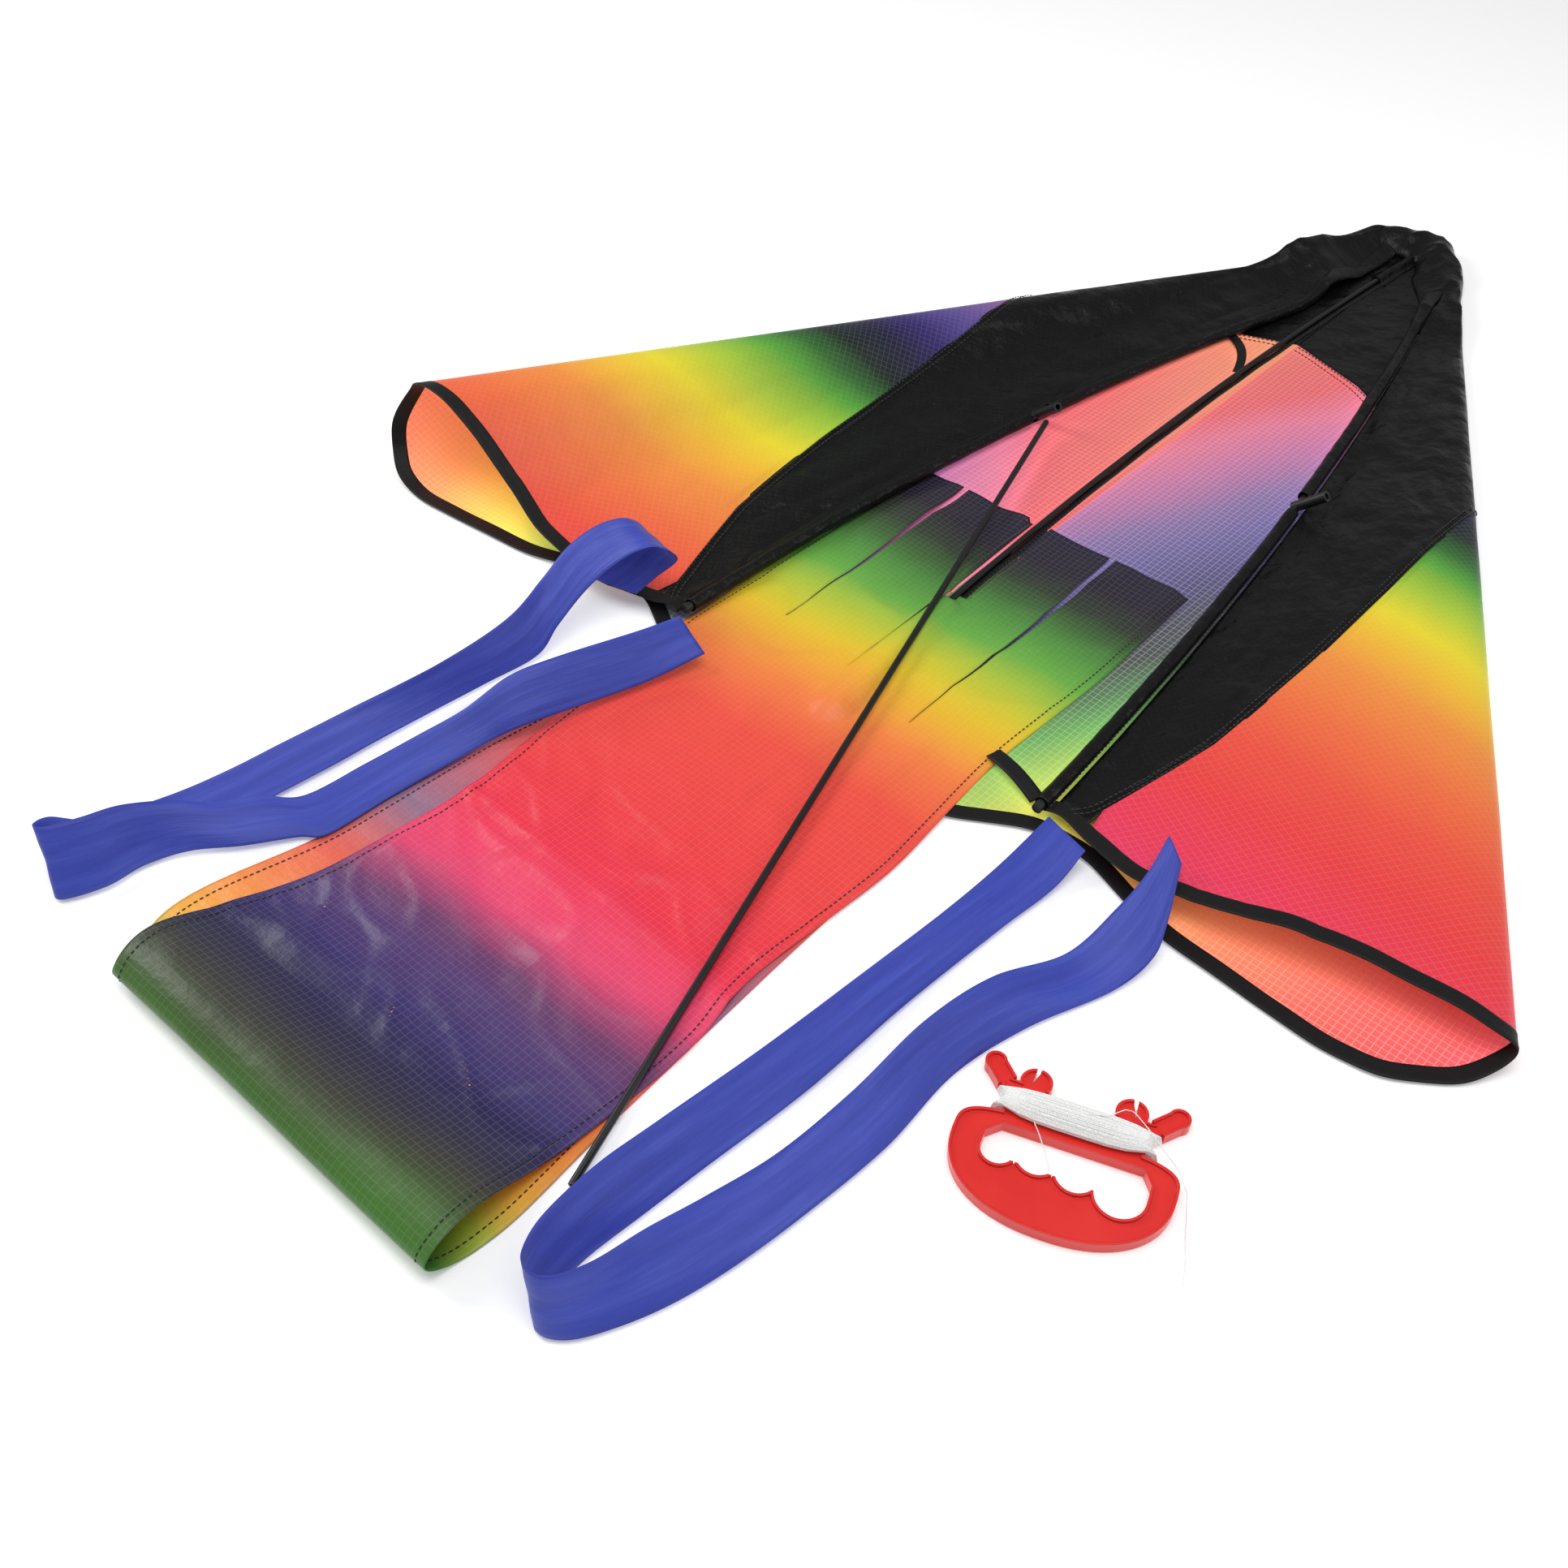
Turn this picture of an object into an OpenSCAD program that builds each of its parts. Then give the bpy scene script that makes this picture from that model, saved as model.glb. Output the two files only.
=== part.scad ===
// Delta kite packed for carrying: both wings folded in over the centre panel, the tail folded back
// over the sail, the spreader rod laid across, a tow keel under the spine and a line winder beside it.
// Units: mm. The kite lies on Z = 0 with its nose toward +Y.

/* [Sail] */
// cloth thickness of the sail
sail_t = 0.6; // [0.4:0.1:0.7]
// cloth thickness of tail and ribbons
light_t = 0.5; // [0.3:0.1:0.6]
// width of the edge binding
bind_w = 12; // [8:1:14]

/* [Rods] */
// diameter of spars, spine and spreader
rod_d = 5; // [4:0.5:5]
// outer diameter of the spar sleeves
sleeve_d = 10; // [8:0.5:10]
// outer diameter of the spreader connectors
tube_d = 9; // [8:0.5:9]
// length of the spreader connectors
tube_l = 31; // [28:1:46]

/* [Keel] */
// depth of the keel below the spine
keel_depth = 125; // [90:5:140]
// length of the keel seam
keel_len = 400; // [300:10:420]

/* [Winder] */
// height of the winder's rim
winder_t = 8; // [7:1:9]
// thickness of the winder's web
web_t = 4; // [3:0.5:6]
// thickness of the wound line over the bar
wound_t = 12; // [11:1:13]
// line diameter
line_d = 0.6; // [0.5:0.1:1]

/* [Hidden] */
$fn = 48;
place = [-20, 678, 0];
rod_r = rod_d / 2;
sleeve_r = sleeve_d / 2;
tube_r = tube_d / 2;
gap = 0.3;
sail_z = 1.5;             // underside of the flat lower sail
spine_z = 5.2;
fold_ang = 28.2;          // between the spine and each wing fold
cone = 980;               // fold profiles are given at this distance from the nose
right_x0 = 45;            // start of the right fold beside the nose
left_x0 = 28;
spine_a = [4, -880, spine_z];
spine_b = [4, 8, spine_z];
spine_bow = 18;
right_spar_a = [71, -142, 8];
right_spar_b = [179, -889, 12.5];
left_spar_a = [-32, -178, 8];
left_spar_b = [-142, -895, 12.5];

// one half of the opened sail, outward from the spine
seam_pts = [[0, -232], [76, -260], [160, -316], [244, -375], [325, -424], [382, -462], [477, -523],
    [583, -584], [690, -627]];
edge_pts = [[0, -945], [130, -935], [148, -923], [184, -902], [226, -902], [292, -926],
    [339, -930], [411, -936], [451, -931], [489, -904], [512, -865], [526, -861], [547, -831],
    [578, -793], [612, -757], [650, -726], [685, -683], [705, -610], [718, -602]];

// fold profile across the fold: distance in the cloth, folded distance, height
right_fold = [[-28, -28, 0], [-8, -10, 7], [2, -4, 14], [12, -10, 21], [40, -38, 25], [90, -88, 28],
    [150, -148, 27], [210, -209, 22], [260, -259, 15], [303, -303, 9], [360, -360, 8]];
left_fold = [[-80, -80, 0], [-45, -50, 17], [-15, -37, 42], [10, -42, 66], [40, -62, 83],
    [75, -98, 83], [110, -127, 66], [145, -154, 44], [180, -184, 29], [230, -232, 21],
    [280, -281, 13], [322, -322, 8], [360, -360, 8]];

function rev(v) = [for (i = [len(v) - 1 : -1 : 0]) v[i]];
function col(v, i) = [for (p = v) [p[0], p[i]]];
function ray(p, x0) =
    let(t = (p[0] - x0) * sin(fold_ang) - p[1] * cos(fold_ang),
        w = (p[0] - x0) * cos(fold_ang) + p[1] * sin(fold_ang)) [cone * w / t, t];
function rays(v, x0) = [for (p = v) ray(p, x0)];
function mix(a, b, v) = a + (b - a) * v;
function clamp01(v) = min(1, max(0, v));

// across-fold position of row v at distance t, from the fold's lower edge to the sleeve
function edge_in(u0) = u0 > -50 ? 19200 : 13300;
function row_u(v, t, u0) = mix(u0 + 1470 / t, 360 - edge_in(u0) / t, v);
function meet(v, tab, u0, t, n) =
    n == 0 ? t : meet(v, tab, u0, lookup(row_u(v, t, u0), tab), n - 1);

// folded point at across position u, distance t and offset o along the cloth's normal
function folded(u, t, o, prof, x0, slip) =
    let(k = t / cone, da = lookup(u + 8, col(prof, 1)) - lookup(u - 8, col(prof, 1)),
        dh = lookup(u + 8, col(prof, 2)) - lookup(u - 8, col(prof, 2)), n = norm([da, dh]),
        a = lookup(u, col(prof, 1)) * k - o * dh / n,
        h = lookup(u, col(prof, 2)) * k + o * da / n,
        q = clamp01((t - slip[3]) / slip[4]), g = pow(clamp01((u - 40) / 320), 2),
        d = g * (mix(slip[0], slip[1], q) + 4 * slip[2] * q * (1 - q)))
    [x0 + t * sin(fold_ang) + a * cos(fold_ang) + d, -t * cos(fold_ang) + a * sin(fold_ang),
        sail_z + sail_t / 2 + h + 2.5 * clamp01(u / 40)];

right_slip = [-1, 1, 14, 135, 710];
left_slip = [-28, -19.6, 22, 169, 681];

// closed shell from a grid of upper points and the matching lower points
module shell(top, bottom) {
    nu = len(top);
    nv = len(top[0]);
    n = nu * nv;
    pts = concat([for (r = top) each r], [for (r = bottom) each r]);
    faces = concat(
        [for (i = [0 : nu - 2], j = [0 : nv - 2]) each [
            [i * nv + j, i * nv + j + 1, (i + 1) * nv + j],
            [i * nv + j + 1, (i + 1) * nv + j + 1, (i + 1) * nv + j],
            [n + i * nv + j, n + (i + 1) * nv + j, n + i * nv + j + 1],
            [n + i * nv + j + 1, n + (i + 1) * nv + j, n + (i + 1) * nv + j + 1]]],
        [for (i = [0 : nu - 2]) each [
            [i * nv, (i + 1) * nv, n + i * nv],
            [(i + 1) * nv, n + (i + 1) * nv, n + i * nv],
            [i * nv + nv - 1, n + i * nv + nv - 1, (i + 1) * nv + nv - 1],
            [(i + 1) * nv + nv - 1, n + i * nv + nv - 1, n + (i + 1) * nv + nv - 1]]],
        [for (j = [0 : nv - 2]) each [
            [j, n + j, j + 1],
            [j + 1, n + j, n + j + 1],
            [(nu - 1) * nv + j, (nu - 1) * nv + j + 1, n + (nu - 1) * nv + j],
            [(nu - 1) * nv + j + 1, n + (nu - 1) * nv + j + 1, n + (nu - 1) * nv + j]]]);
    polyhedron(pts, faces, convexity = 6);
}

// patch of folded cloth: rows v0 to v1, from the inner to the outer distance of each row
module fold_patch(v0, v1, rows, steps, inner, outer, thick, u0, prof, x0, slip) {
    grid = [for (side = [-1, 1])
        [for (i = [0 : rows]) let(v = mix(v0, v1, i / rows))
            [for (j = [0 : steps])
                let(t = mix(lookup(v, inner), lookup(v, outer), j / steps))
                folded(row_u(v, t, u0), t, side * thick / 2, prof, x0, slip)]]];
    shell(grid[0], grid[1]);
}

// distance tables along the rows: seam and trailing edge
function row_tab(pts, u0, x0) =
    let(tab = rays(pts, x0)) [for (v = [0 : 0.04 : 1]) [v, meet(v, tab, u0, 700, 4)]];
function shift_tab(tab, d) = [for (p = tab) [p[0], p[1] + d]];
function low_tab(a, b, d) = [for (i = [0 : len(a) - 1]) [a[i][0], min(a[i][1], b[i][1] + d)]];

right_edge_t = row_tab(edge_pts, -28, right_x0);
right_seam_t = low_tab(row_tab(seam_pts, -28, right_x0), right_edge_t, -bind_w - 4);
left_edge_t = row_tab(edge_pts, -80, left_x0);
left_seam_t = low_tab(row_tab(seam_pts, -80, left_x0), left_edge_t, -bind_w - 4);

module nose_upper(seam_t, u0, prof, x0, slip) {
    first = edge_in(u0) / 266;
    fold_patch(0, 1, 18, 8, [[0, first], [1, first]], shift_tab(seam_t, -gap / 2), sail_t, u0, prof, x0,
        slip);
}
module rainbow_upper(seam_t, edge_t, u0, prof, x0, slip) {
    fold_patch(0, 1, 24, 4, shift_tab(seam_t, gap / 2), shift_tab(edge_t, -bind_w - gap), sail_t,
        u0, prof, x0, slip);
}
module binding_upper(edge_t, u0, prof, x0, slip) {
    fold_patch(0, 1, 24, 1, shift_tab(edge_t, -bind_w), edge_t, sail_t + 0.2, u0, prof, x0, slip);
}

// flat lower cloth of one half, cut at the ray where the fold starts to rise
module lower_cut(u0, x0) {
    a = fold_ang + atan(u0 / cone);
    intersection() {
        children();
        polygon([[gap / 2, 100], [x0, 100], [x0, 0], [x0 + 1400 * sin(a), -1400 * cos(a)],
            [gap / 2, -1400]]);
    }
}
module nose_lower(u0, x0) {
    translate([0, 0, sail_z])
        linear_extrude(sail_t)
            lower_cut(u0, x0)
                polygon(concat([[0, 15], [30, 15], [52, -14], [718, -602]],
                    rev([for (p = seam_pts) [p[0], p[1] + gap / 2]])));
}
module rainbow_lower(u0, x0) {
    translate([0, 0, sail_z])
        linear_extrude(sail_t)
            lower_cut(u0, x0)
                polygon(concat([for (p = seam_pts) [p[0], p[1] - gap / 2]],
                    rev([for (p = edge_pts) [p[0], p[1] + bind_w + gap]])));
}
module binding_lower(u0, x0) {
    translate([0, 0, sail_z - 0.1])
        linear_extrude(sail_t + 0.2)
            lower_cut(u0, x0)
                polygon(concat([for (p = edge_pts) [p[0], p[1] + bind_w]], rev(edge_pts)));
}

// bar bent to a gentle arc from a to b, bulging to the left of that direction
module arc_bar(a, b, bow, from = 0, to = 1) {
    d = b - a;
    len_ab = norm(d);
    r = (len_ab * len_ab / 4 + bow * bow) / (2 * bow);
    half = asin(len_ab / 2 / r);
    translate(a)
        rotate([0, -asin(d[2] / len_ab), atan2(d[1], d[0])])
            translate([len_ab / 2, -(r - bow), 0])
                rotate([0, 0, 90 + half - 2 * half * to])
                    rotate_extrude(angle = 2 * half * (to - from), $fn = 1440)
                        translate([r, 0])
                            children();
}
function along(a, b, bow, s) =
    let(d = b - a, l = norm(d), n = [-d[1], d[0], 0] / l) a + d * s + n * 4 * bow * s * (1 - s);

right_bow = 15;
left_bow = 22;
right_join = along(right_spar_a, right_spar_b, right_bow, 0.443);
left_join = along(left_spar_b, left_spar_a, left_bow, 0.545);

// spar sleeve open on top around the connector, its lower edge carried past it by a flat tab
module sleeve(a, b, bow, join, ang) {
    difference() {
        arc_bar(a, b, bow)
            difference() {
                circle(r = sleeve_r, $fn = 32);
                circle(r = rod_r + 0.5, $fn = 32);
            }
        translate(join)
            rotate([0, 0, ang])
                cube([40, 26, 40], center = true);
    }
    translate([join[0], join[1], 0])
        rotate([0, 0, ang]) {
            translate([-4, -17, 2.8])
                cube([8, 34, 0.6]);
            for (s = [-1, 1])
                translate([-4, s * 15 - 2, 2.8])
                    cube([8, 4, 3.6]);
        }
}

// vinyl tube pierced near one end by the spar, its socket pointing inward and up
module connector(join, ang, spar_bore) {
    translate(join)
        rotate([0, 0, ang])
            rotate([0, 50, 0])
                difference() {
                    translate([0, 0, -4])
                        cylinder(r = tube_r, h = tube_l);
                    rotate([90, 0, 0])
                        cylinder(r = spar_bore, h = 30, center = true);
                    translate([0, 0, 8])
                        cylinder(r = rod_r + 0.05, h = tube_l);
                }
}

// streamer swept through paired edge points, far edge then near edge
module streamer(st) {
    n = len(st);
    f = [for (s = st) [s[0], s[1], s[2]]];
    m = [for (s = st) [s[3], s[4], s[5]]];
    c = (f + m) / 2;
    nrm = [for (i = [0 : n - 1])
        let(v = cross(c[min(i + 1, n - 1)] - c[max(i - 1, 0)], m[i] - f[i])) v / norm(v)];
    shell([for (i = [0 : n - 1]) [f[i] - nrm[i] * light_t / 2, m[i] - nrm[i] * light_t / 2]],
        [for (i = [0 : n - 1]) [f[i] + nrm[i] * light_t / 2, m[i] + nrm[i] * light_t / 2]]);
}

right_ribbon_st = [
    [190, -897, 13, 227, -909, 16], [190, -950, 10, 226, -940, 5], [188, -1005, 10, 220, -990, 3],
    [182, -1074, 10, 213, -1075, 3], [176, -1160, 14, 210, -1160, 3], [170, -1241, 22, 201, -1243, 3],
    [168, -1286, 28, 197, -1281, 3], [173, -1327, 36, 193, -1319, 3], [182, -1350, 40, 195, -1348, 3],
    [192, -1357, 42, 200, -1364, 3], [204, -1352, 41, 212, -1364, 3], [212, -1330, 36, 226, -1350, 3],
    [214, -1294, 25, 243, -1315, 3], [220, -1255, 16, 254, -1275, 3], [229, -1207, 12, 262, -1224, 3],
    [234, -1150, 14, 268, -1160, 3], [238, -1090, 24, 266, -1096, 3], [246, -1035, 20, 278, -1040, 3],
    [264, -981, 8, 300, -983, 3], [271, -940, 20, 306, -950, 8], [273, -912, 31, 300, -926, 16],
    [270, -885, 42, 286, -893, 33]];
left_ribbon_st = [
    [-222, -931, 20, -180, -916, 15], [-202, -914, 36, -172, -902, 27], [-194, -892, 54, -158, -892, 46],
    [-200, -902, 68, -162, -912, 66], [-214, -918, 64, -176, -932, 58], [-222, -942, 54, -186, -957, 42],
    [-220, -972, 42, -190, -986, 22], [-212, -1015, 34, -192, -1008, 5], [-216, -1076, 28, -199, -1056, 3],
    [-234, -1138, 18, -208, -1137, 3], [-247, -1191, 12, -212, -1183, 3], [-255, -1238, 10, -220, -1247, 3],
    [-262, -1277, 12, -228, -1291, 3], [-266, -1324, 24, -237, -1338, 3], [-277, -1347, 36, -248, -1360, 3],
    [-272, -1360, 42, -249, -1371, 3], [-262, -1356, 44, -240, -1370, 3], [-255, -1335, 42, -228, -1345, 4],
    [-250, -1311, 38, -226, -1318, 4], [-240, -1283, 28, -214, -1292, 5], [-226, -1262, 20, -193, -1267, 5],
    [-212, -1236, 16, -173, -1237, 4], [-196, -1213, 10, -161, -1221, 3], [-190, -1166, 10, -158, -1171, 3],
    [-182, -1128, 14, -152, -1124, 4], [-171, -1093, 22, -147, -1093, 6], [-163, -1057, 34, -136, -1070, 12],
    [-148, -1025, 40, -122, -1036, 14], [-129, -963, 36, -105, -980, 12], [-122, -927, 32, -92, -932, 16]];

module left_nose_panel_lower() {
    color("#17161c") mirror([1, 0, 0]) nose_lower(-80, left_x0);
}
module right_nose_panel_lower() {
    color("#17161c") nose_lower(-28, right_x0);
}
module left_rainbow_panel_lower() {
    color("#e06a3c") mirror([1, 0, 0]) rainbow_lower(-80, left_x0);
}
module right_rainbow_panel_lower() {
    color("#a85cc0") rainbow_lower(-28, right_x0);
}
module left_edge_binding_lower() {
    color("#17161c") mirror([1, 0, 0]) binding_lower(-80, left_x0);
}
module right_edge_binding_lower() {
    color("#17161c") binding_lower(-28, right_x0);
}
module left_nose_panel_upper() {
    color("#17161c") mirror([1, 0, 0]) nose_upper(left_seam_t, -80, left_fold, left_x0, left_slip);
}
module left_rainbow_panel_upper() {
    color("#2ba84a")
        mirror([1, 0, 0])
            rainbow_upper(left_seam_t, left_edge_t, -80, left_fold, left_x0, left_slip);
}
module left_edge_binding_upper() {
    color("#17161c") mirror([1, 0, 0]) binding_upper(left_edge_t, -80, left_fold, left_x0, left_slip);
}
module right_nose_panel_upper() {
    color("#17161c") nose_upper(right_seam_t, -28, right_fold, right_x0, right_slip);
}
module right_rainbow_panel_upper() {
    color("#f0a030")
        rainbow_upper(right_seam_t, right_edge_t, -28, right_fold, right_x0, right_slip);
}
module right_edge_binding_upper() {
    color("#17161c") binding_upper(right_edge_t, -28, right_fold, right_x0, right_slip);
}

module spine_rod() {
    color("#1b1b1d") arc_bar(spine_a, spine_b, spine_bow) circle(r = rod_r, $fn = 32);
}
// cloth pocket sewn over one end of the spine rod, closed past the rod's end
module pocket(p, q, closed) {
    d = q - p;
    difference() {
        translate([p[0], p[1], spine_z])
            rotate([0, 0, atan2(d[1], d[0])])
                rotate([0, 90, 0])
                    difference() {
                        cylinder(r = rod_r + 1.7, h = norm(d) + closed);
                        translate([0, 0, -1])
                            cylinder(r = rod_r + 0.4, h = norm(d) + 1);
                    }
        translate([-100, -1000, -20])
            cube([200, 1100, 20 + sail_z + sail_t + gap]);
    }
}
module nose_pocket() {
    color("#17161c") pocket([-2.3, -76], [4.6, 12], 4);
}
module spine_pocket() {
    color("#17161c") pocket([0.9, -846], [4.5, -886], 3);
}
module spine_seam() {
    color("#17161c")
        translate([0, 0, sail_z + sail_t + gap + 0.7 - spine_z])
            arc_bar(spine_a, spine_b, spine_bow, 0.05, 0.9)
                translate([-rod_r - 3.6, -0.7])
                    square([2.4, 1.4]);
}
module spine_tie() {
    color("#17161c")
        translate([0, 0, sail_z + sail_t + gap])
            linear_extrude(0.6)
                polygon([[-74, -251], [-66, -260], [-16, -318], [-18, -305], [-67, -247]]);
}

module tail() {
    flap_z = sail_z + sail_t + gap;
    color("#7fbf3f") {
        linear_extrude(light_t)
            polygon([[-130, -935], [130, -935], [134, -1100], [140, -1253], [148, -1335],
                [-190, -1335], [-187, -1302], [-164, -1223], [-156, -1088]]);
        // rolled fold at the lower end
        translate([-150, 0, 0])
            rotate([90, 0, 90])
                linear_extrude(290)
                    polygon([[-1333, 0], [-1368, 0.5], [-1381, 6], [-1386, 14], [-1382, 23],
                        [-1370, 28], [-1355, 26], [-1338, 18], [-1315, 7], [-1280, 1.4],
                        [-1276, 1.4], [-1276, 0.9], [-1280, 0.9], [-1315, 6.5], [-1338, 17.5],
                        [-1355, 25.5], [-1370, 27.5], [-1381.6, 22.7], [-1385.5, 14],
                        [-1380.6, 6.4], [-1368, 1], [-1333, 0.5]]);
        // upper layer on the tail, then raised over the sail's edge
        translate([0, 0, 0.9])
            linear_extrude(light_t)
                polygon([[-135, -962], [136, -962], [131, -1050], [128, -1128], [140, -1180],
                    [137, -1277], [-147, -1277], [-135, -1245], [-123, -1132], [-136, -1037]]);
        translate([-136, 0, 0])
            rotate([90, 0, 90])
                linear_extrude(268)
                    polygon([[-962.5, 0.9], [-962, 1.4], [-952, flap_z + light_t],
                        [-949, flap_z + light_t], [-949, flap_z], [-951.7, flap_z],
                        [-961.7, 0.9]]);
        translate([0, 0, flap_z])
            linear_extrude(light_t)
                difference() {
                    polygon([[-142, -949.5], [136, -949.5], [127, -880], [133, -747], [129, -639],
                        [66, -628], [58, -636], [50, -628], [-6, -632], [-22, -634], [-78, -628],
                        [-88, -636], [-98, -628], [-138, -635], [-136, -734]]);
                    translate([-89, -774])
                        square([2, 160]);
                    translate([57, -820])
                        square([2, 200]);
                    translate([-16, -902])
                        square([28, 280]);
                }
    }
}

module left_spar() {
    color("#1b1b1d") arc_bar(left_spar_b, left_spar_a, left_bow) circle(r = rod_r, $fn = 32);
}
module right_spar() {
    color("#1b1b1d") arc_bar(right_spar_a, right_spar_b, right_bow) circle(r = rod_r, $fn = 32);
}
module left_sleeve() {
    color("#17161c") sleeve(left_spar_b, left_spar_a, left_bow, left_join, -8);
}
module right_sleeve() {
    color("#17161c") sleeve(right_spar_a, right_spar_b, right_bow, right_join, 9);
}
module spar_cap(p, ang) {
    translate(p)
        rotate([90, 0, ang])
            cylinder(r = rod_r + 1.2, h = 7);
}
module left_spar_cap() {
    color("#222226") spar_cap(left_spar_b + [0, -0.4, 0], -3);
}
module right_spar_cap() {
    color("#222226") spar_cap(right_spar_b + [0, -0.4, 0], 3);
}
module left_ribbon() {
    color("#4655bd") streamer(left_ribbon_st);
}
module right_ribbon() {
    color("#4655bd") streamer(right_ribbon_st);
}
module right_tip_strap() {
    color("#17161c")
        translate([0, 0, 4])
            linear_extrude(0.8)
                polygon([[171, -889], [171, -877], [122, -861], [120, -872]]);
}
module left_connector() {
    color("#1b1b1d") connector(left_join, -8, rod_r + 0.14);
}
module right_connector() {
    color("#1b1b1d") connector(right_join, 9, rod_r + 0.14);
}

module spreader_rod() {
    a = [-86, -515, 16.4];
    b = [155, -1295, 3.3];
    d = b - a;
    color("#1b1b1d")
        translate(a)
            rotate([0, acos(d[2] / norm(d)), atan2(d[1], d[0])])
                difference() {
                    cylinder(r = rod_r, h = norm(d));
                    translate([0, 0, -1])
                        cylinder(r = rod_r - 1, h = norm(d) + 2);
                }
}

// keel laid flat to the right under the sail
keel_top = -300;
keel_tip = [keel_depth, -300 - keel_len * 0.55];
module keel_shape(inset) {
    polygon([[gap, keel_top - inset * 1.6], [gap, keel_top - keel_len + inset * 1.6],
        keel_tip - [inset * 1.5, 0]]);
}
module keel() {
    color("#f07830")
        linear_extrude(0.5)
            difference() {
                keel_shape(8.3);
                translate([keel_tip[0] - 20, keel_tip[1]])
                    circle(r = 6.2);
            }
}
module keel_edge_tape() {
    color("#17161c")
        linear_extrude(0.5)
            difference() {
                keel_shape(0);
                keel_shape(8);
                translate([keel_tip[0] - 20, keel_tip[1]])
                    circle(r = 6.2);
            }
}
module keel_eyelet() {
    color("#b9a36a")
        translate([keel_tip[0] - 20, keel_tip[1], 0])
            difference() {
                cylinder(r = 6, h = 0.8);
                translate([0, 0, -1])
                    cylinder(r = 3, h = 3);
            }
}

module at_winder() {
    translate([346, -1098, 0])
        rotate([0, 0, 20])
            children();
}
// outline of the winder plate, drawn in by g: the D, the two horns and the bar that joins them
function bent(v, p) = sign(v) * pow(abs(v), p);
module winder_ends(g) {
    // D: flat above with round corners, a deep bow below
    polygon([for (a = [0 : 5 : 355])
        let(p = a < 180 ? 0.5 : 0.9)
            [(64 - g) * bent(cos(a), p), -8 + ((a < 180 ? 22 : 46) - g) * bent(sin(a), p)]]);
    winder_horn(g);
    mirror([1, 0, 0])
        winder_horn(g);
}
// horn: long outer tongue, round inner lobe, on a foot that spans the bar
module winder_horn(g) {
    translate([54, 45])
        circle(r = 6.5 - g);
    translate([44, 34])
        rotate([0, 0, 47.7])
            translate([0, -6 + g])
                square([14.9, 12 - 2 * g]);
    translate([28, 38.5])
        circle(r = 9.5 - g);
    polygon([[19.5 + g, 28.5 + g], [46 - g, 28.5 + g], [46.5 - g, 35], [37, 36 - g], [19.5 + g, 34]]);
}
module winder_outline(g) {
    winder_ends(g);
    translate([-41 + g, 0])
        square([82 - 2 * g, 34]);
}
module finger_hole(g) {
    polygon([[-46 - g, -12], [-46 - g, -3], [-38, 5 + g], [43, 5 + g], [49 + g, -4],
        [49 + g, -15], [36, -19], [-30, -17]]);
    translate([-36, -12])
        circle(r = 10 + g);
    translate([-14, -9])
        circle(r = 12 + g);
    translate([9, -12])
        circle(r = 12 + g);
    translate([34.5, -16])
        circle(r = 14.5 + g);
}
module winder_handle() {
    color("#e8312c")
        at_winder()
            difference() {
                linear_extrude(winder_t)
                    difference() {
                        winder_outline(0);
                        finger_hole(0);
                    }
                // recessed web between the raised rims, on both faces
                for (z = [-1, (winder_t + web_t) / 2])
                    translate([0, 0, z])
                        linear_extrude((winder_t - web_t) / 2 + 1)
                            difference() {
                                winder_outline(1.6);
                                finger_hole(1.6);
                            }
                // seat of the winding, free of rims
                for (z = [-1, (winder_t + web_t) / 2])
                    translate([-50, 14.2, z])
                        cube([100, 14.1, (winder_t - web_t) / 2 + 1]);
                // opening above the bar, between the horns
                translate([-17.5, 28.4, -1])
                    cube([35, 20, winder_t + 2]);
                // V notches that hold the line's end
                for (s = [-1, 1])
                    translate([s * 28, 50, -1])
                        rotate([0, 0, s * 12])
                            linear_extrude(winder_t + 2)
                                polygon([[-1.6, 0], [1.6, 0], [0, -14]]);
            }
}
// one closed body for the wound line: it wraps the bar, spills over D and horns, and its ends are
// concave
module line_winding() {
    color("#f2f2f0")
        at_winder()
            difference() {
                translate([0, 20.6, winder_t - 1.8])
                    rotate([0, 90, 0])
                        scale([1, 10.2 / (wound_t / 2), 1])
                            cylinder(r = wound_t / 2, h = 100, center = true, $fn = 40);
                // the bar, the D and the horns with clearance
                translate([0, 21.25, winder_t / 2])
                    cube([82.8, 14.5, web_t + 0.4], center = true);
                for (y = [0, 28])
                    translate([-60, y, -10])
                        cube([120, y == 0 ? 14.5 : 20, winder_t + 10.2]);
                for (s = [-1, 1])
                    translate([s * 60, 20.6, -10])
                        cylinder(r = 12, h = 40);
                translate([-60, 0, -20])
                    cube([120, 50, 20.4]);
            }
}

// round tube through hand-placed points
module cord(p, d) {
    n = len(p);
    m = 8;
    rings = [for (i = [0 : n - 1])
        let(v = p[min(i + 1, n - 1)] - p[max(i - 1, 0)], t = v / norm(v),
            sv = cross(t, [0, 0, 1]), sn = sv / norm(sv), u = cross(sn, t))
        [for (j = [0 : m - 1]) p[i] + d / 2 * (cos(j * 45) * sn + sin(j * 45) * u)]];
    pts = [for (r = rings) each r];
    polyhedron(pts, concat(
        [[for (j = [0 : m - 1]) j]],
        [for (i = [0 : n - 2], j = [0 : m - 1]) let(k = (j + 1) % m)
            [i * m + j, (i + 1) * m + j, (i + 1) * m + k, i * m + k]],
        [[for (j = [m - 1 : -1 : 0]) (n - 1) * m + j]]));
}
module line_tail() {
    color("#f2f2f0")
        at_winder()
            cord([[28, 39, 8.8], [31, 34, 13.6], [39, 27, 13.8], [47, 20, 13.2], [55, 14, 11.5],
                [62, 8, 10.5], [68, -2, 7.5], [71, -13, 2], [73, -24, 0.9], [76, -38, 0.8],
                [78, -52, 0.8]], line_d);
}
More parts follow.
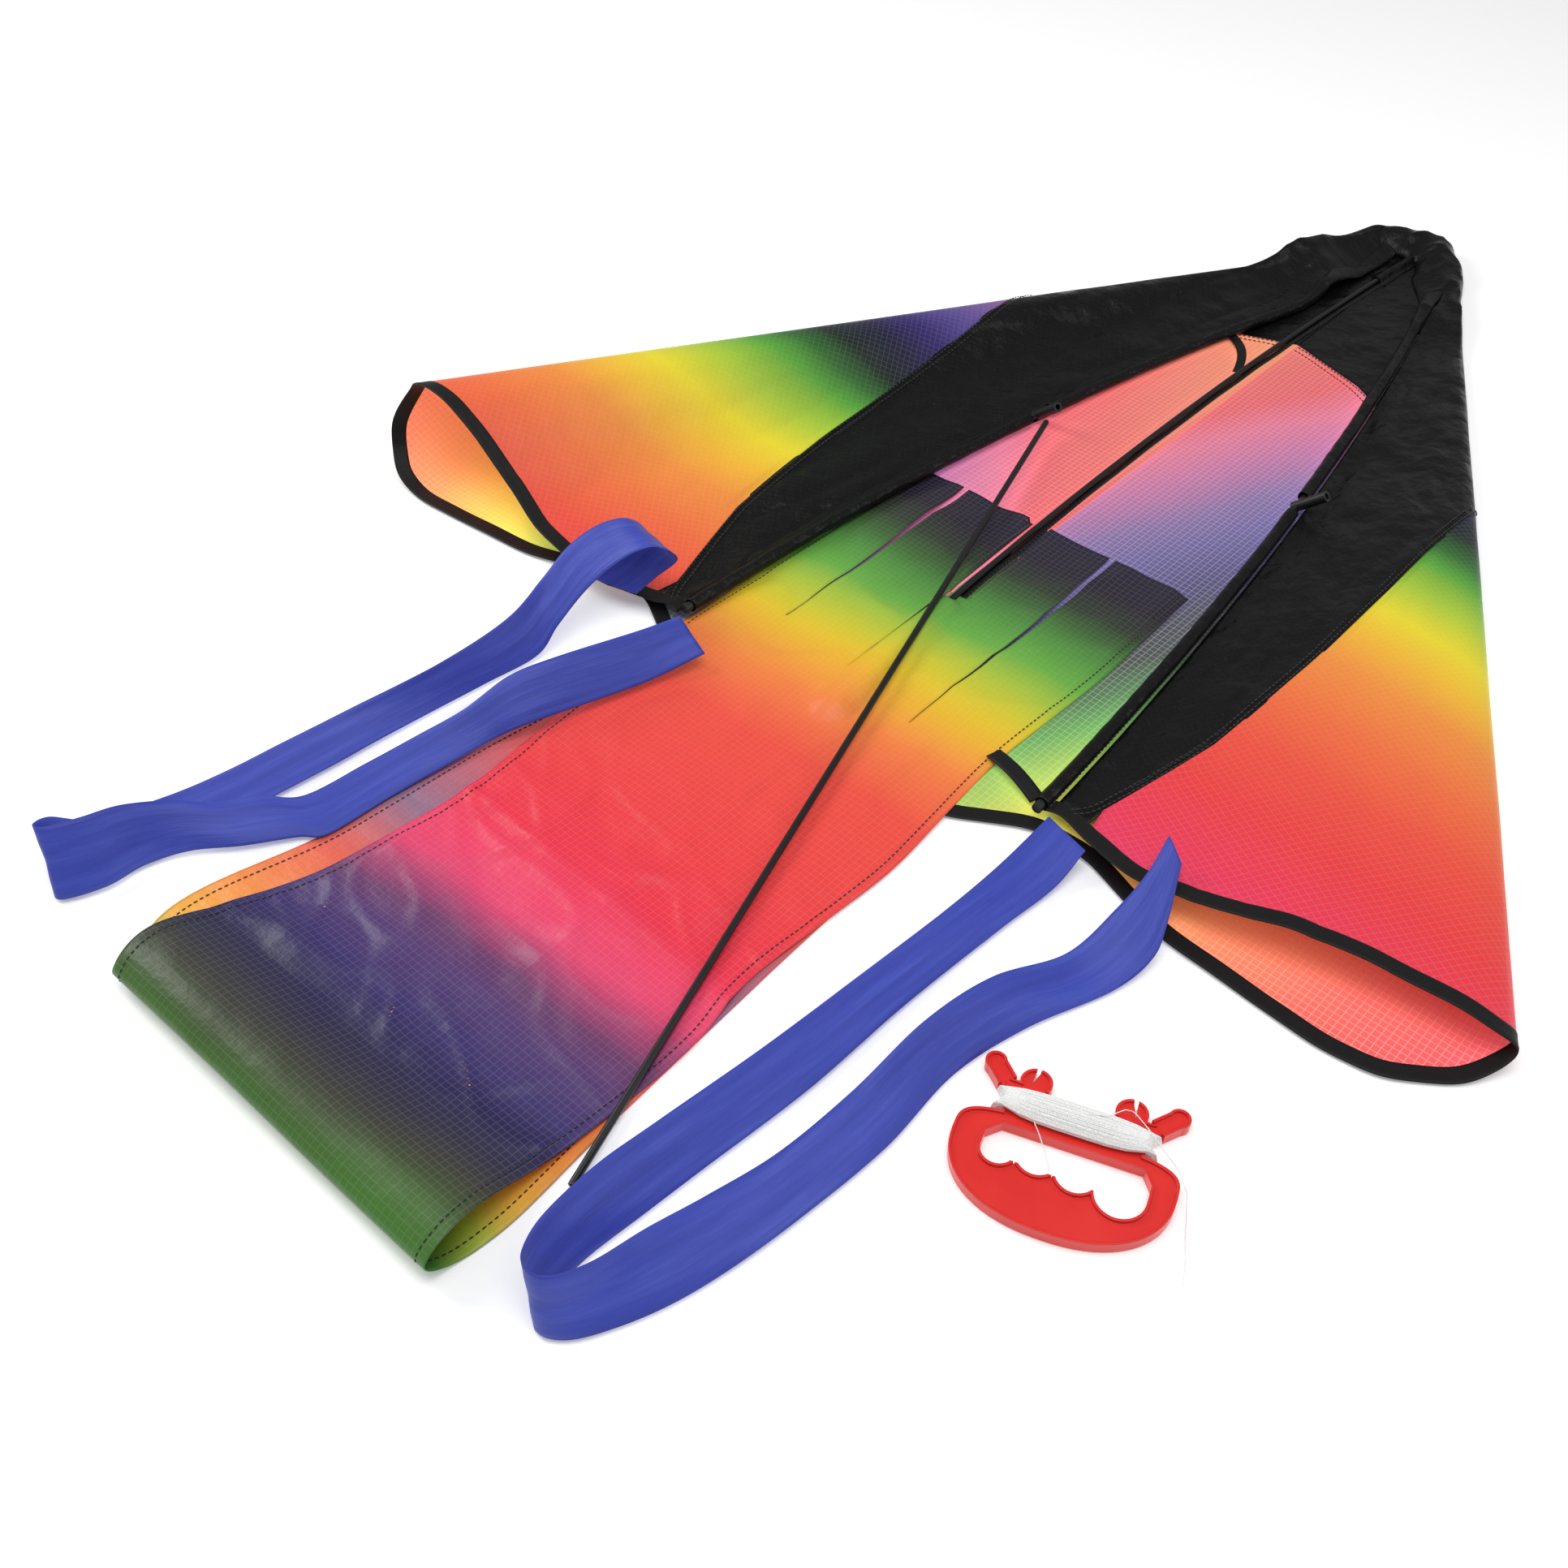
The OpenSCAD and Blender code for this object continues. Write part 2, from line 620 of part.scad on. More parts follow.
module line_start() {
    color("#f2f2f0")
        at_winder()
            cord([[-22, 9.4, 9.2], [-19, 7, 9], [-17, 4.4, 8.8], [-12, -2, 5.5], [-8, -8, 3],
                [-6, -12, 2]], line_d);
}

translate(place) left_nose_panel_lower();
translate(place) right_nose_panel_lower();
translate(place) left_rainbow_panel_lower();
translate(place) right_rainbow_panel_lower();
translate(place) left_edge_binding_lower();
translate(place) right_edge_binding_lower();
translate(place) spine_rod();
translate(place) nose_pocket();
translate(place) spine_pocket();
translate(place) spine_seam();
translate(place) spine_tie();
translate(place) tail();
translate(place) left_nose_panel_upper();
translate(place) left_rainbow_panel_upper();
translate(place) left_edge_binding_upper();
translate(place) left_spar();
translate(place) left_sleeve();
translate(place) left_spar_cap();
translate(place) left_ribbon();
translate(place) right_nose_panel_upper();
translate(place) right_rainbow_panel_upper();
translate(place) right_edge_binding_upper();
translate(place) right_spar();
translate(place) right_sleeve();
translate(place) right_spar_cap();
translate(place) right_ribbon();
translate(place) right_tip_strap();
translate(place) left_connector();
translate(place) right_connector();
translate(place) spreader_rod();
translate(place) keel();
translate(place) keel_edge_tape();
translate(place) keel_eyelet();
translate(place) winder_handle();
translate(place) line_winding();
translate(place) line_tail();
translate(place) line_start();
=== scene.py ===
import math
import random

import bpy
import numpy as np
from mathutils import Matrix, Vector


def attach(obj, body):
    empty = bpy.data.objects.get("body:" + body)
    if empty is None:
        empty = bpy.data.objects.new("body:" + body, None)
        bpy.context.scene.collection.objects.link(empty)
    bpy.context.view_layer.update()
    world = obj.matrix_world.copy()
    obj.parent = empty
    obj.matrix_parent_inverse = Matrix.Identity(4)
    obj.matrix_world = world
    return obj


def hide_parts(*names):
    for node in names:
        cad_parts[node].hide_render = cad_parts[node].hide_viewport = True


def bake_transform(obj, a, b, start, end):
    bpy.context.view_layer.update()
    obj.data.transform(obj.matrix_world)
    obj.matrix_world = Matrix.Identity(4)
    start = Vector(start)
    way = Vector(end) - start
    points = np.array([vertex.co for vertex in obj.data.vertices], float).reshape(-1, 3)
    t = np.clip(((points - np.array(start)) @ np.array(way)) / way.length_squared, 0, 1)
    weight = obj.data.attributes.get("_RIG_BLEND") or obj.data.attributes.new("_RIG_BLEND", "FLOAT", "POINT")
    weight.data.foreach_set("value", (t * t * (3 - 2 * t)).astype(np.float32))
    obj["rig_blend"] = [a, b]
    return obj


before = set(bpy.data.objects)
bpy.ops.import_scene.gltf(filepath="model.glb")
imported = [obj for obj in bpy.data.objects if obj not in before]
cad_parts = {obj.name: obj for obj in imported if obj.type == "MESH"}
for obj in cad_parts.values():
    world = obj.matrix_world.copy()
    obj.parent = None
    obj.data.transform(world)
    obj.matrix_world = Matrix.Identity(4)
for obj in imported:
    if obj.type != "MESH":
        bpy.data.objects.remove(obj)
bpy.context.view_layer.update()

MM = 0.001

# ---- places
# The kite is laid out in millimetres from its nose point: x toward the right wing, y toward the nose.
NOSE = np.array([-20.0, 678.0, 0.0])
SAIL_Z = 1.8             # middle of the flat lower cloth
SAIL_LOW = 1.7           # the lowest that the sail's cloth comes
FOLD = math.radians(28.2)
CONE = 980.0
SIN_F, COS_F = math.sin(FOLD), math.cos(FOLD)
SIDES = {
    "left": dict(
        sign=-1, x0=28.0, split=-80.0, roll=75.0, slip=(-28.0, -19.6, 22.0, 169.0, 681.0), soft=5.0,
        fold=[(-80, -80, 0), (-45, -50, 17), (-15, -37, 42), (10, -42, 66), (40, -62, 83),
              (75, -98, 83), (110, -127, 66), (145, -154, 44), (180, -184, 29), (230, -232, 21),
              (280, -281, 13), (322, -322, 8), (380, -380, 7)],
        spar=((-142, -895, 12.5), (-32, -178, 8.0), 22.0), join=0.545, top=(-20.0, -14.0)),
    "right": dict(
        sign=1, x0=45.0, split=-28.0, roll=40.0, slip=(-1.0, 1.0, 14.0, 135.0, 710.0), soft=4.0,
        fold=[(-28, -28, 0), (-8, -10, 7), (2, -4, 14), (12, -10, 21), (40, -38, 25),
              (90, -88, 28), (150, -148, 27), (210, -209, 22), (260, -259, 15), (303, -303, 9),
              (380, -380, 8)],
        spar=((71, -142, 8.0), (179, -889, 12.5), 15.0), join=0.443, top=(47.0, 36.0))}
SEAM = np.array([(0, -232), (76, -260), (160, -316), (244, -375), (325, -424), (382, -462),
                 (477, -523), (583, -584), (690, -627), (705, -612), (714, -600)], float)
EDGE = np.array([(0, -945), (130, -935), (148, -923), (184, -902), (226, -902), (292, -926),
                 (339, -930), (411, -936), (451, -931), (489, -904), (512, -865), (526, -861),
                 (547, -831), (578, -793), (612, -757), (650, -726), (685, -683), (705, -610),
                 (718, -602)], float)
BIND = 12.0


def row(points):
    """Millimetres from the nose to metres in the row frame."""
    return (np.asarray(points, float) + NOSE) * MM


def smooth(values, sigma):
    """Gaussian smoothing along a row of values, sigma in samples."""
    r = int(3 * sigma)
    k = np.exp(-0.5 * (np.arange(-r, r + 1) / sigma) ** 2)
    return np.convolve(np.pad(values, r, mode="edge"), k / k.sum(), mode="valid")


def smoothstep(v):
    v = np.clip(v, 0, 1)
    return v * v * (3 - 2 * v)


def fold_curve(s):
    """Cross-section of the folded half sail: place across and height for each place on the flat cloth."""
    pts = np.array(s["fold"], float)
    u = np.arange(-9000.0, 5000.0, 2.0)
    a = np.where(u < pts[0, 0], u, np.interp(u, pts[:, 0], pts[:, 1]))
    a = np.where(u > pts[-1, 0], -u, a)
    h = np.interp(u, pts[:, 0], pts[:, 2])
    return u, smooth(a, s["soft"]), np.maximum(smooth(h, s["soft"]), 0)


for half in SIDES.values():
    half["curve"] = fold_curve(half)


def arc(a, b, bow, s):
    """Point at share s of a gentle arc from a to b that bulges to the left of that direction."""
    a, b, s = np.array(a, float), np.array(b, float), np.asarray(s, float)[..., None]
    d = b - a
    n = np.array([-d[1], d[0], 0]) / np.linalg.norm(d)
    return a + d * s + n * 4 * bow * s * (1 - s)


def spar_axis(side, y):
    """Centre of the sleeve at y: along the spar, then on along the empty sleeve to the nose."""
    s = SIDES[side]
    line = arc(*s["spar"], np.linspace(0, 1, 80))
    line = line[np.argsort(line[:, 1])]
    line = np.vstack([line, (s["top"][0], -40.0, 5.5), (s["top"][1], 0.0, 4.5)])
    y = np.asarray(y, float)
    return np.stack([np.interp(y, line[:, 1], line[:, 0]), y, np.interp(y, line[:, 1], line[:, 2])], -1)


def cloth_tu(side, px, py):
    """Distance along the fold and position across it of a point of the opened sail."""
    s = SIDES[side]
    t = (px - s["x0"]) * SIN_F - py * COS_F
    w = (px - s["x0"]) * COS_F + py * SIN_F
    return t, CONE * w / np.maximum(t, 34.0)


def folded(side, px, py, lift=0.0):
    """Where a point of the opened half sail lies in the folded kite, lifted along the cloth's normal."""
    s = SIDES[side]
    px, py = np.asarray(px, float), np.asarray(py, float)
    t, u = cloth_tu(side, px, py)
    cu, ca, ch = s["curve"]
    k = np.maximum(t, 34.0) / CONE
    a = np.interp(u, cu, ca) * k
    h = np.interp(u, cu, ch) * k
    if np.any(lift):
        da = np.interp(u + 8, cu, ca) - np.interp(u - 8, cu, ca)
        dh = np.interp(u + 8, cu, ch) - np.interp(u - 8, cu, ch)
        n = np.hypot(da, dh)
        a = a - lift * dh / n
        h = h + lift * da / n
    q = np.clip((t - s["slip"][3]) / s["slip"][4], 0, 1)
    g = np.clip((u - 40) / 320, 0, 1) ** 2
    d = g * (s["slip"][0] + (s["slip"][1] - s["slip"][0]) * q + 4 * s["slip"][2] * q * (1 - q))
    x = s["x0"] + t * SIN_F + a * COS_F + d
    y = -t * COS_F + a * SIN_F
    z = SAIL_Z + h + 2.5 * smoothstep(u / 40)
    return np.stack([s["sign"] * x, y, z], -1)


def ruffle(x, y, seed, size, count=14, stretch=1.0, angle=0.0):
    """Smooth pseudo-random field of about unit height; stretch draws the waves out along angle."""
    rng = np.random.default_rng(seed)
    c, sn = math.cos(angle), math.sin(angle)
    xr, yr = (c * x + sn * y) / stretch, -sn * x + c * y
    out = np.zeros(np.broadcast(x, y).shape)
    for _ in range(count):
        th = rng.uniform(0, math.pi)
        f = 2 * math.pi / size * rng.uniform(0.5, 1.7)
        out = out + np.sin(f * (math.cos(th) * xr + math.sin(th) * yr) + rng.uniform(0, 6.28)) \
            * rng.uniform(0.5, 1.0)
    return out / math.sqrt(count)


def creased(x, y, seed, size, **kw):
    """Like ruffle, with sharp ridges."""
    return 1 - 2 * np.abs(np.tanh(1.3 * ruffle(x, y, seed, size, **kw)))


def distances(line):
    """Distance of each point of a line from its start."""
    return np.concatenate([[0], np.cumsum(np.linalg.norm(np.diff(line, axis=0), axis=1))])


# ---- camera and light
scene = bpy.context.scene


def placed(name, data):
    """New object of this name in the scene."""
    o = bpy.data.objects.new(name, data)
    scene.collection.objects.link(o)
    return o


camera = placed("camera", bpy.data.cameras.new("camera"))
camera.location = row((569.9, -1581.8, 803.4))
DOWN = math.radians(44.877)
look = Vector((-0.6687 * math.cos(DOWN), 0.7435 * math.cos(DOWN), -math.sin(DOWN)))
camera.rotation_mode = "QUATERNION"
camera.rotation_quaternion = look.to_track_quat("-Z", "Y")
camera.data.sensor_width = 36.0
camera.data.lens = 38.09
camera.data.clip_start, camera.data.clip_end = 0.02, 50
scene.camera = camera
scene.view_settings.view_transform = "Standard"
scene.view_settings.look = "None"

world = bpy.data.worlds.new("studio")
scene.world = world
world.use_nodes = True
world.node_tree.nodes["Background"].inputs[0].default_value = (1, 1, 1, 1)
world.node_tree.nodes["Background"].inputs[1].default_value = 0.30


def area_light(name, place, aim, size, power):
    lamp = bpy.data.lights.new(name, "AREA")
    lamp.shape = "RECTANGLE"
    lamp.size, lamp.size_y = size
    lamp.energy = power
    o = placed(name, lamp)
    o.location = place
    o.rotation_mode = "QUATERNION"
    o.rotation_quaternion = (Vector(aim) - Vector(place)).to_track_quat("-Z", "Y")
    return o


lights = [
    area_light("softbox_top", (0.3, -0.5, 2.4), (0, -0.1, 0), (2.0, 1.6), 33),
    area_light("softbox_left", (-2.0, -0.6, 1.4), (0, -0.1, 0), (1.0, 1.0), 22),
    area_light("softbox_right", (1.9, 0.7, 1.2), (0, 0, 0), (0.9, 1.4), 9)]
floor_mesh = bpy.data.meshes.new("floor")
HALF_FLOOR, FLOOR_Z = 9, -0.0006
corners = [(x * HALF_FLOOR, y * HALF_FLOOR, FLOOR_Z) for x, y in ((-1, -1), (1, -1), (1, 1), (-1, 1))]
floor_mesh.from_pydata(corners, [], [(0, 1, 2, 3)])
floor = placed("floor", floor_mesh)

# ---- materials


def linear(code):
    """sRGB hex to a linear RGBA colour."""
    v = [int(code[i:i + 2], 16) / 255 for i in (0, 2, 4)]
    return [c / 12.92 if c <= 0.04045 else ((c + 0.055) / 1.055) ** 2.4 for c in v] + [1.0]


class Nodes:
    """Small helper for building one node material."""

    def __init__(self, name, rough=0.5, color=(0.5, 0.5, 0.5, 1), **sockets):
        self.mat = bpy.data.materials.new(name)
        self.mat.use_nodes = True
        self.tree = self.mat.node_tree
        self.bsdf = self.tree.nodes["Principled BSDF"]
        self.bsdf.inputs["Roughness"].default_value = rough
        self.bsdf.inputs["Base Color"].default_value = color
        for k, v in sockets.items():
            self.bsdf.inputs[k.replace("_", " ")].default_value = v

    def put(self, value, socket):
        if isinstance(value, bpy.types.NodeSocket):
            self.tree.links.new(value, socket)
        else:
            socket.default_value = value

    def math(self, op, a, b=0.0, clamp=False):
        n = self.tree.nodes.new("ShaderNodeMath")
        n.operation = op
        n.use_clamp = clamp
        self.put(a, n.inputs[0])
        self.put(b, n.inputs[1])
        return n.outputs[0]

    def uv(self):
        """Cloth coordinates in metres: across and along the piece."""
        n = self.tree.nodes.new("ShaderNodeUVMap")
        n.uv_map = "cloth"
        sep = self.tree.nodes.new("ShaderNodeSeparateXYZ")
        self.tree.links.new(n.outputs[0], sep.inputs[0])
        self.vector = n.outputs[0]
        return sep.outputs[0], sep.outputs[1]

    def local(self):
        n = self.tree.nodes.new("ShaderNodeTexCoord")
        self.vector = n.outputs["Object"]

    def noise(self, scale, detail=3.0, rough=0.5, stretch=None):
        vec = self.vector
        if stretch:
            m = self.tree.nodes.new("ShaderNodeMapping")
            m.inputs["Scale"].default_value = stretch
            self.tree.links.new(vec, m.inputs[0])
            vec = m.outputs[0]
        n = self.tree.nodes.new("ShaderNodeTexNoise")
        n.inputs["Scale"].default_value = scale
        n.inputs["Detail"].default_value = detail
        n.inputs["Roughness"].default_value = rough
        self.tree.links.new(vec, n.inputs["Vector"])
        return n.outputs[0]

    def ramp(self, value, stops):
        n = self.tree.nodes.new("ShaderNodeValToRGB")
        el = n.color_ramp.elements
        while len(el) < len(stops):
            el.new(0.5)
        for e, (p, c) in zip(el, stops):
            e.position = p
            e.color = c
        self.put(value, n.inputs[0])
        return n.outputs[0]

    def blend(self, fac, a, b, mode="MIX"):
        n = self.tree.nodes.new("ShaderNodeMix")
        n.data_type = "RGBA"
        n.blend_type = mode
        self.put(fac, n.inputs[0])
        self.put(a, n.inputs[6])
        self.put(b, n.inputs[7])
        return n.outputs[2]

    def lines(self, value, pitch, width):
        """1 on thin lines that repeat every pitch metres, 0 between them."""
        f = self.math("FRACT", self.math("DIVIDE", value, pitch))
        d = self.math("ABSOLUTE", self.math("SUBTRACT", f, 0.5))
        return self.math("GREATER_THAN", d, 0.5 - width / pitch / 2)

    def weave(self, u, v, pitch, width):
        """1 on the threads of a square grid."""
        return self.math("MAXIMUM", self.lines(u, pitch, width), self.lines(v, pitch, width))

    def painted_inner_glow(self, col, strength=2.1):
        """Painted glow: emits the cloth's own colour where it is half enclosed, for light through thin cloth.
        """
        ao = self.tree.nodes.new("ShaderNodeAmbientOcclusion")
        ao.samples = 6
        ao.inputs["Distance"].default_value = 0.25
        shade = self.math("SUBTRACT", 1.0, ao.outputs["AO"], clamp=True)
        self.tree.links.new(col, self.bsdf.inputs["Emission Color"])
        half = self.math("MULTIPLY", shade, self.math("SUBTRACT", 1.0, shade))
        self.tree.links.new(self.math("MULTIPLY", half, strength), self.bsdf.inputs["Emission Strength"])

    def bump(self, height, strength, distance):
        n = self.tree.nodes.new("ShaderNodeBump")
        n.inputs["Strength"].default_value = strength
        n.inputs["Distance"].default_value = distance
        self.put(height, n.inputs["Height"])
        old = self.bsdf.inputs["Normal"]
        if old.is_linked:
            self.tree.links.new(old.links[0].from_socket, n.inputs["Normal"])
        self.tree.links.new(n.outputs[0], old)

    def color(self, value):
        self.put(value, self.bsdf.inputs["Base Color"])


# pitch of the ripstop's grid and of its fine yarn
RIPSTOP, YARN = 0.0048, 0.0008
# printed colours: places along the print in millimetres, and shares of the tail
RAINBOW = [(0, "f7894f"), (100, "f26a55"), (150, "ee5550"), (200, "ee4a55"), (240, "e8668c"),
           (285, "c2619c"), (335, "7d5a9c"), (375, "5a4a94"), (420, "33246c"), (455, "1d1a3c"),
           (495, "15261c"), (525, "2f6a2a"), (555, "5aa836"), (600, "aece36"), (645, "f0dc2a"),
           (690, "f8b832"), (730, "f6903c"), (790, "f46f3c"), (850, "f0503c"), (915, "ee3d40"),
           (970, "ee3852"), (1050, "e8386a")]
TAIL = [(0.0, "241f33"), (0.05, "261f2c"), (0.09, "2f3a2a"), (0.12, "3c6430"), (0.15, "4c8a3a"),
        (0.195, "66aa40"), (0.225, "a2be38"), (0.255, "cbc52c"), (0.28, "e4c026"), (0.305, "edb02a"),
        (0.33, "f29b36"), (0.355, "f4803c"), (0.39, "f0683e"), (0.43, "ee4c3c"), (0.5, "ee443e"),
        (0.58, "ed3a40"), (0.65, "ec3048"), (0.69, "ee4066"), (0.715, "e6446e"), (0.74, "aa3f6c"),
        (0.768, "6a3866"), (0.8, "50366e"), (0.84, "3a2e68"), (0.87, "261f4e"), (0.905, "302e40"),
        (0.93, "3a3a34"), (0.95, "3e4a2e"), (0.97, "42662c"), (1.0, "457a2e")]


def ramp_stops(table, pale):
    """Ramp stops for a table of places and hex colours, mixed toward white by pale."""
    top = table[-1][0]
    out = []
    for p, c in table:
        v = linear(c)
        out.append((p / top, [x + (0.9 - x) * pale for x in v[:3]] + [1.0]))
    return out


def rainbow_cloth(name, offset, pale):
    """Ripstop nylon with the printed rainbow. The pale version is its back, where the grid shows, with a
    painted glow.
    """
    m = Nodes(name, rough=0.46 if pale else 0.4, Specular_IOR_Level=0.3)
    u, v = m.uv()
    phase = m.math("ADD", u, m.math("MULTIPLY", v, -0.5))
    wobble = m.math("MULTIPLY", m.math("SUBTRACT", m.noise(5.0, 2.0), 0.5), 0.03)
    phase = m.math("ADD", m.math("ADD", phase, offset * MM), wobble)
    top = RAINBOW[-1][0] * MM
    col = m.ramp(m.math("DIVIDE", phase, top, clamp=True), ramp_stops(RAINBOW, pale))
    grid = m.weave(u, v, RIPSTOP, 0.00055)
    fine = m.weave(u, v, YARN, 0.0003)
    lighter = m.blend(m.math("MULTIPLY", grid, 0.25 if pale else 0.05), col, (1, 1, 1, 1))
    mottle = m.math("MULTIPLY", m.noise(260.0, 2.0), 0.16)
    mottled = m.blend(mottle, lighter, (1, 1, 1, 1), "SOFT_LIGHT")
    m.color(m.blend(m.math("MULTIPLY", fine, 0.06), mottled, (0, 0, 0, 1)))
    m.bump(m.math("ADD", grid, m.math("MULTIPLY", fine, 0.3)), 0.5, 0.00012)
    m.bump(m.noise(34.0, 4.0, 0.55), 0.45, 0.0028)
    m.bump(m.noise(11.0, 2.0, 0.5), 0.5, 0.007)
    if pale:
        # painted glow where the back of the cloth is half enclosed
        m.painted_inner_glow(col)
    return m.mat


def tail_cloth(name, pale):
    """The tail's print. The pale version is its back, which shows at the rolled fold."""
    m = Nodes(name, rough=0.4, Specular_IOR_Level=0.34)
    u, v = m.uv()
    wobble = m.math("MULTIPLY", m.math("SUBTRACT", m.noise(6.0, 2.0), 0.5), 0.05)
    slant = m.math("MULTIPLY", u, 0.05)
    phase = m.math("ADD", m.math("ADD", v, wobble), slant)
    col = m.ramp(phase, ramp_stops(TAIL, pale))
    under = m.ramp(phase, [(0.0, linear("ee5a4a")), (0.35, linear("e2574f")), (0.55, linear("8f6a86")),
                           (0.68, linear("e8604a")), (0.8, linear("f5903c")), (0.88, linear("f5b03a")),
                           (0.95, linear("a9b93a")), (1.0, linear("3f7a2a"))])
    grid = m.weave(u, m.math("MULTIPLY", v, 0.82), RIPSTOP, 0.0005)
    lighter = m.blend(m.math("MULTIPLY", grid, 0.045), under if pale else col, (1, 1, 1, 1))
    m.color(m.blend(m.math("MULTIPLY", m.noise(300.0, 2.0), 0.14), lighter, (1, 1, 1, 1), "SOFT_LIGHT"))
    m.bump(grid, 0.5, 0.0001)
    m.bump(m.noise(36.0, 4.0, 0.6), 0.5, 0.003)
    m.bump(m.noise(11.0, 2.0, 0.5), 0.5, 0.008)
    return m.mat


def black_nylon():
    """Black ripstop of the nose panels, sleeves and pockets."""
    base, yarn = (0.003, 0.003, 0.0034, 1), (0.011, 0.011, 0.012, 1)
    m = Nodes("nose_nylon", rough=0.3, color=base, Specular_IOR_Level=0.2)
    u, v = m.uv()
    grid = m.weave(u, v, RIPSTOP, 0.0005)
    fine = m.weave(u, v, YARN, 0.0003)
    m.color(m.blend(m.math("MULTIPLY", m.math("ADD", grid, fine), 0.25), base, yarn))
    m.bump(m.math("ADD", grid, m.math("MULTIPLY", fine, 0.4)), 0.5, 0.0001)
    m.bump(m.noise(45.0, 4.0, 0.55), 0.7, 0.005)
    m.bump(m.noise(14.0, 3.0, 0.5), 0.8, 0.014)
    return m.mat


def woven_tape():
    """Ribbed black binding."""
    color = (0.005, 0.005, 0.0055, 1)
    m = Nodes("edge_tape", rough=0.5, color=color, Specular_IOR_Level=0.2, Sheen_Weight=0.02)
    u, v = m.uv()
    rib = m.math("MAXIMUM", m.lines(u, 0.0016, 0.0005), m.lines(v, 0.0011, 0.0004))
    m.color(m.blend(m.math("MULTIPLY", rib, 0.3), color, (0.02, 0.02, 0.022, 1)))
    m.bump(rib, 0.6, 0.00025)
    m.bump(m.noise(90.0, 3.0), 0.35, 0.0015)
    return m.mat


def satin():
    """Blue streamer cloth, streaked lengthwise."""
    m = Nodes("ribbon_satin", rough=0.42, Specular_IOR_Level=0.25, Sheen_Weight=0.05)
    u, v = m.uv()
    streak = m.noise(18.0, 4.0, 0.6, stretch=(6.0, 0.5, 1.0))
    col = m.ramp(streak, [(0.25, linear("3643a4")), (0.5, linear("3f4db4")), (0.8, linear("5160c4"))])
    fine = m.math("MAXIMUM", m.lines(u, 0.0008, 0.0003), m.lines(v, 0.001, 0.0003))
    m.color(m.blend(m.math("MULTIPLY", fine, 0.12), col, (0.02, 0.025, 0.2, 1)))
    m.bump(streak, 0.5, 0.0018)
    m.bump(fine, 0.3, 0.0001)
    return m.mat


def moulded_red():
    """The winder's glossy plastic, its edges softened."""
    m = Nodes("winder_red", rough=0.33, Specular_IOR_Level=0.5, Coat_Weight=0.25)
    m.bsdf.inputs["Coat Roughness"].default_value = 0.2
    m.bsdf.inputs["Subsurface Weight"].default_value = 0.12
    m.bsdf.inputs["Subsurface Scale"].default_value = 0.003
    m.bsdf.inputs["Subsurface Radius"].default_value = (1.0, 0.25, 0.2)
    m.local()
    tone = m.noise(30.0, 3.0)
    m.color(m.ramp(tone, [(0.3, linear("e01c18")), (0.7, linear("e82a22"))]))
    m.bump(m.noise(900.0, 2.0), 0.12, 0.0002)
    bevel = m.tree.nodes.new("ShaderNodeBevel")
    bevel.samples = 6
    bevel.inputs["Radius"].default_value = 0.0009
    first = m.bsdf.inputs["Normal"].links[0].from_node
    m.tree.links.new(bevel.outputs[0], first.inputs["Normal"])
    return m.mat


def hard(name, color, rough, scale, metallic=0.0):
    """Plain hard material with a faint mottle."""
    m = Nodes(name, rough=rough, color=color, Metallic=metallic)
    m.local()
    n = m.noise(scale, 3.0, 0.6)
    dark, light = ([c * k for c in color[:3]] + [1] for k in (0.8, 1.5))
    m.color(m.ramp(n, [(0.3, dark), (0.75, light)]))
    m.bump(n, 0.15, 0.0004)
    return m.mat


def thread(name, color, glow=0.0):
    m = Nodes(name, rough=0.6, color=color, Sheen_Weight=0.2)
    # emission at glow strength is a painted glow that brightens the thread beyond its lighting
    m.bsdf.inputs["Emission Color"].default_value = color
    m.bsdf.inputs["Emission Strength"].default_value = glow
    m.local()
    n = m.noise(1500.0, 2.0)
    dark, light = ([min(1, c * k) for c in color[:3]] + [1] for k in (0.75, 1.15))
    m.color(m.ramp(n, [(0.3, dark), (0.7, light)]))
    m.bump(n, 0.4, 0.0002)
    return m.mat


MAT = {
    "front_left": rainbow_cloth("rainbow_front_left", -135, 0.0),
    "front_right": rainbow_cloth("rainbow_front_right", 0, 0.0),
    "back_left": rainbow_cloth("rainbow_back_left", -135, 0.07),
    "back_right": rainbow_cloth("rainbow_back_right", 0, 0.07),
    "tail": tail_cloth("tail_front", 0.0),
    "tail_back": tail_cloth("tail_back", 0.12),
    "black": black_nylon(),
    "tape": woven_tape(),
    "satin": satin(),
    "red": moulded_red(),
    "rod": hard("rod_fibreglass", (0.007, 0.007, 0.0075, 1), 0.32, 60.0),
    "vinyl": hard("connector_vinyl", (0.008, 0.008, 0.008, 1), 0.45, 200.0),
    "brass": hard("eyelet_brass", (0.5, 0.36, 0.15, 1), 0.3, 300.0, metallic=1.0),
    "black_thread": thread("thread_black", (0.012, 0.012, 0.013, 1)),
    # the white line is given a painted glow of 0.08
    "white_line": thread("line_white", (0.88, 0.88, 0.86, 1), 0.08)}
ground = Nodes("studio_floor", rough=0.95, color=(0.98, 0.98, 0.98, 1), Specular_IOR_Level=0.1)
ground.bsdf.inputs["Emission Color"].default_value = (1, 1, 1, 1)
ground.bsdf.inputs["Emission Strength"].default_value = 0.22
floor_mesh.materials.append(ground.mat)

# ---- mesh building


def grid_faces(n, m, keep=None, wrap=False):
    """Quads over an n by m grid of points, where keep says so; wrap closes it round m."""
    out = []
    for i in range(n - 1):
        for j in range(m if wrap else m - 1):
            if keep is None or keep[i, j]:
                k = (j + 1) % m
                out.append((i * m + j, i * m + k, (i + 1) * m + k, (i + 1) * m + j))
    return out


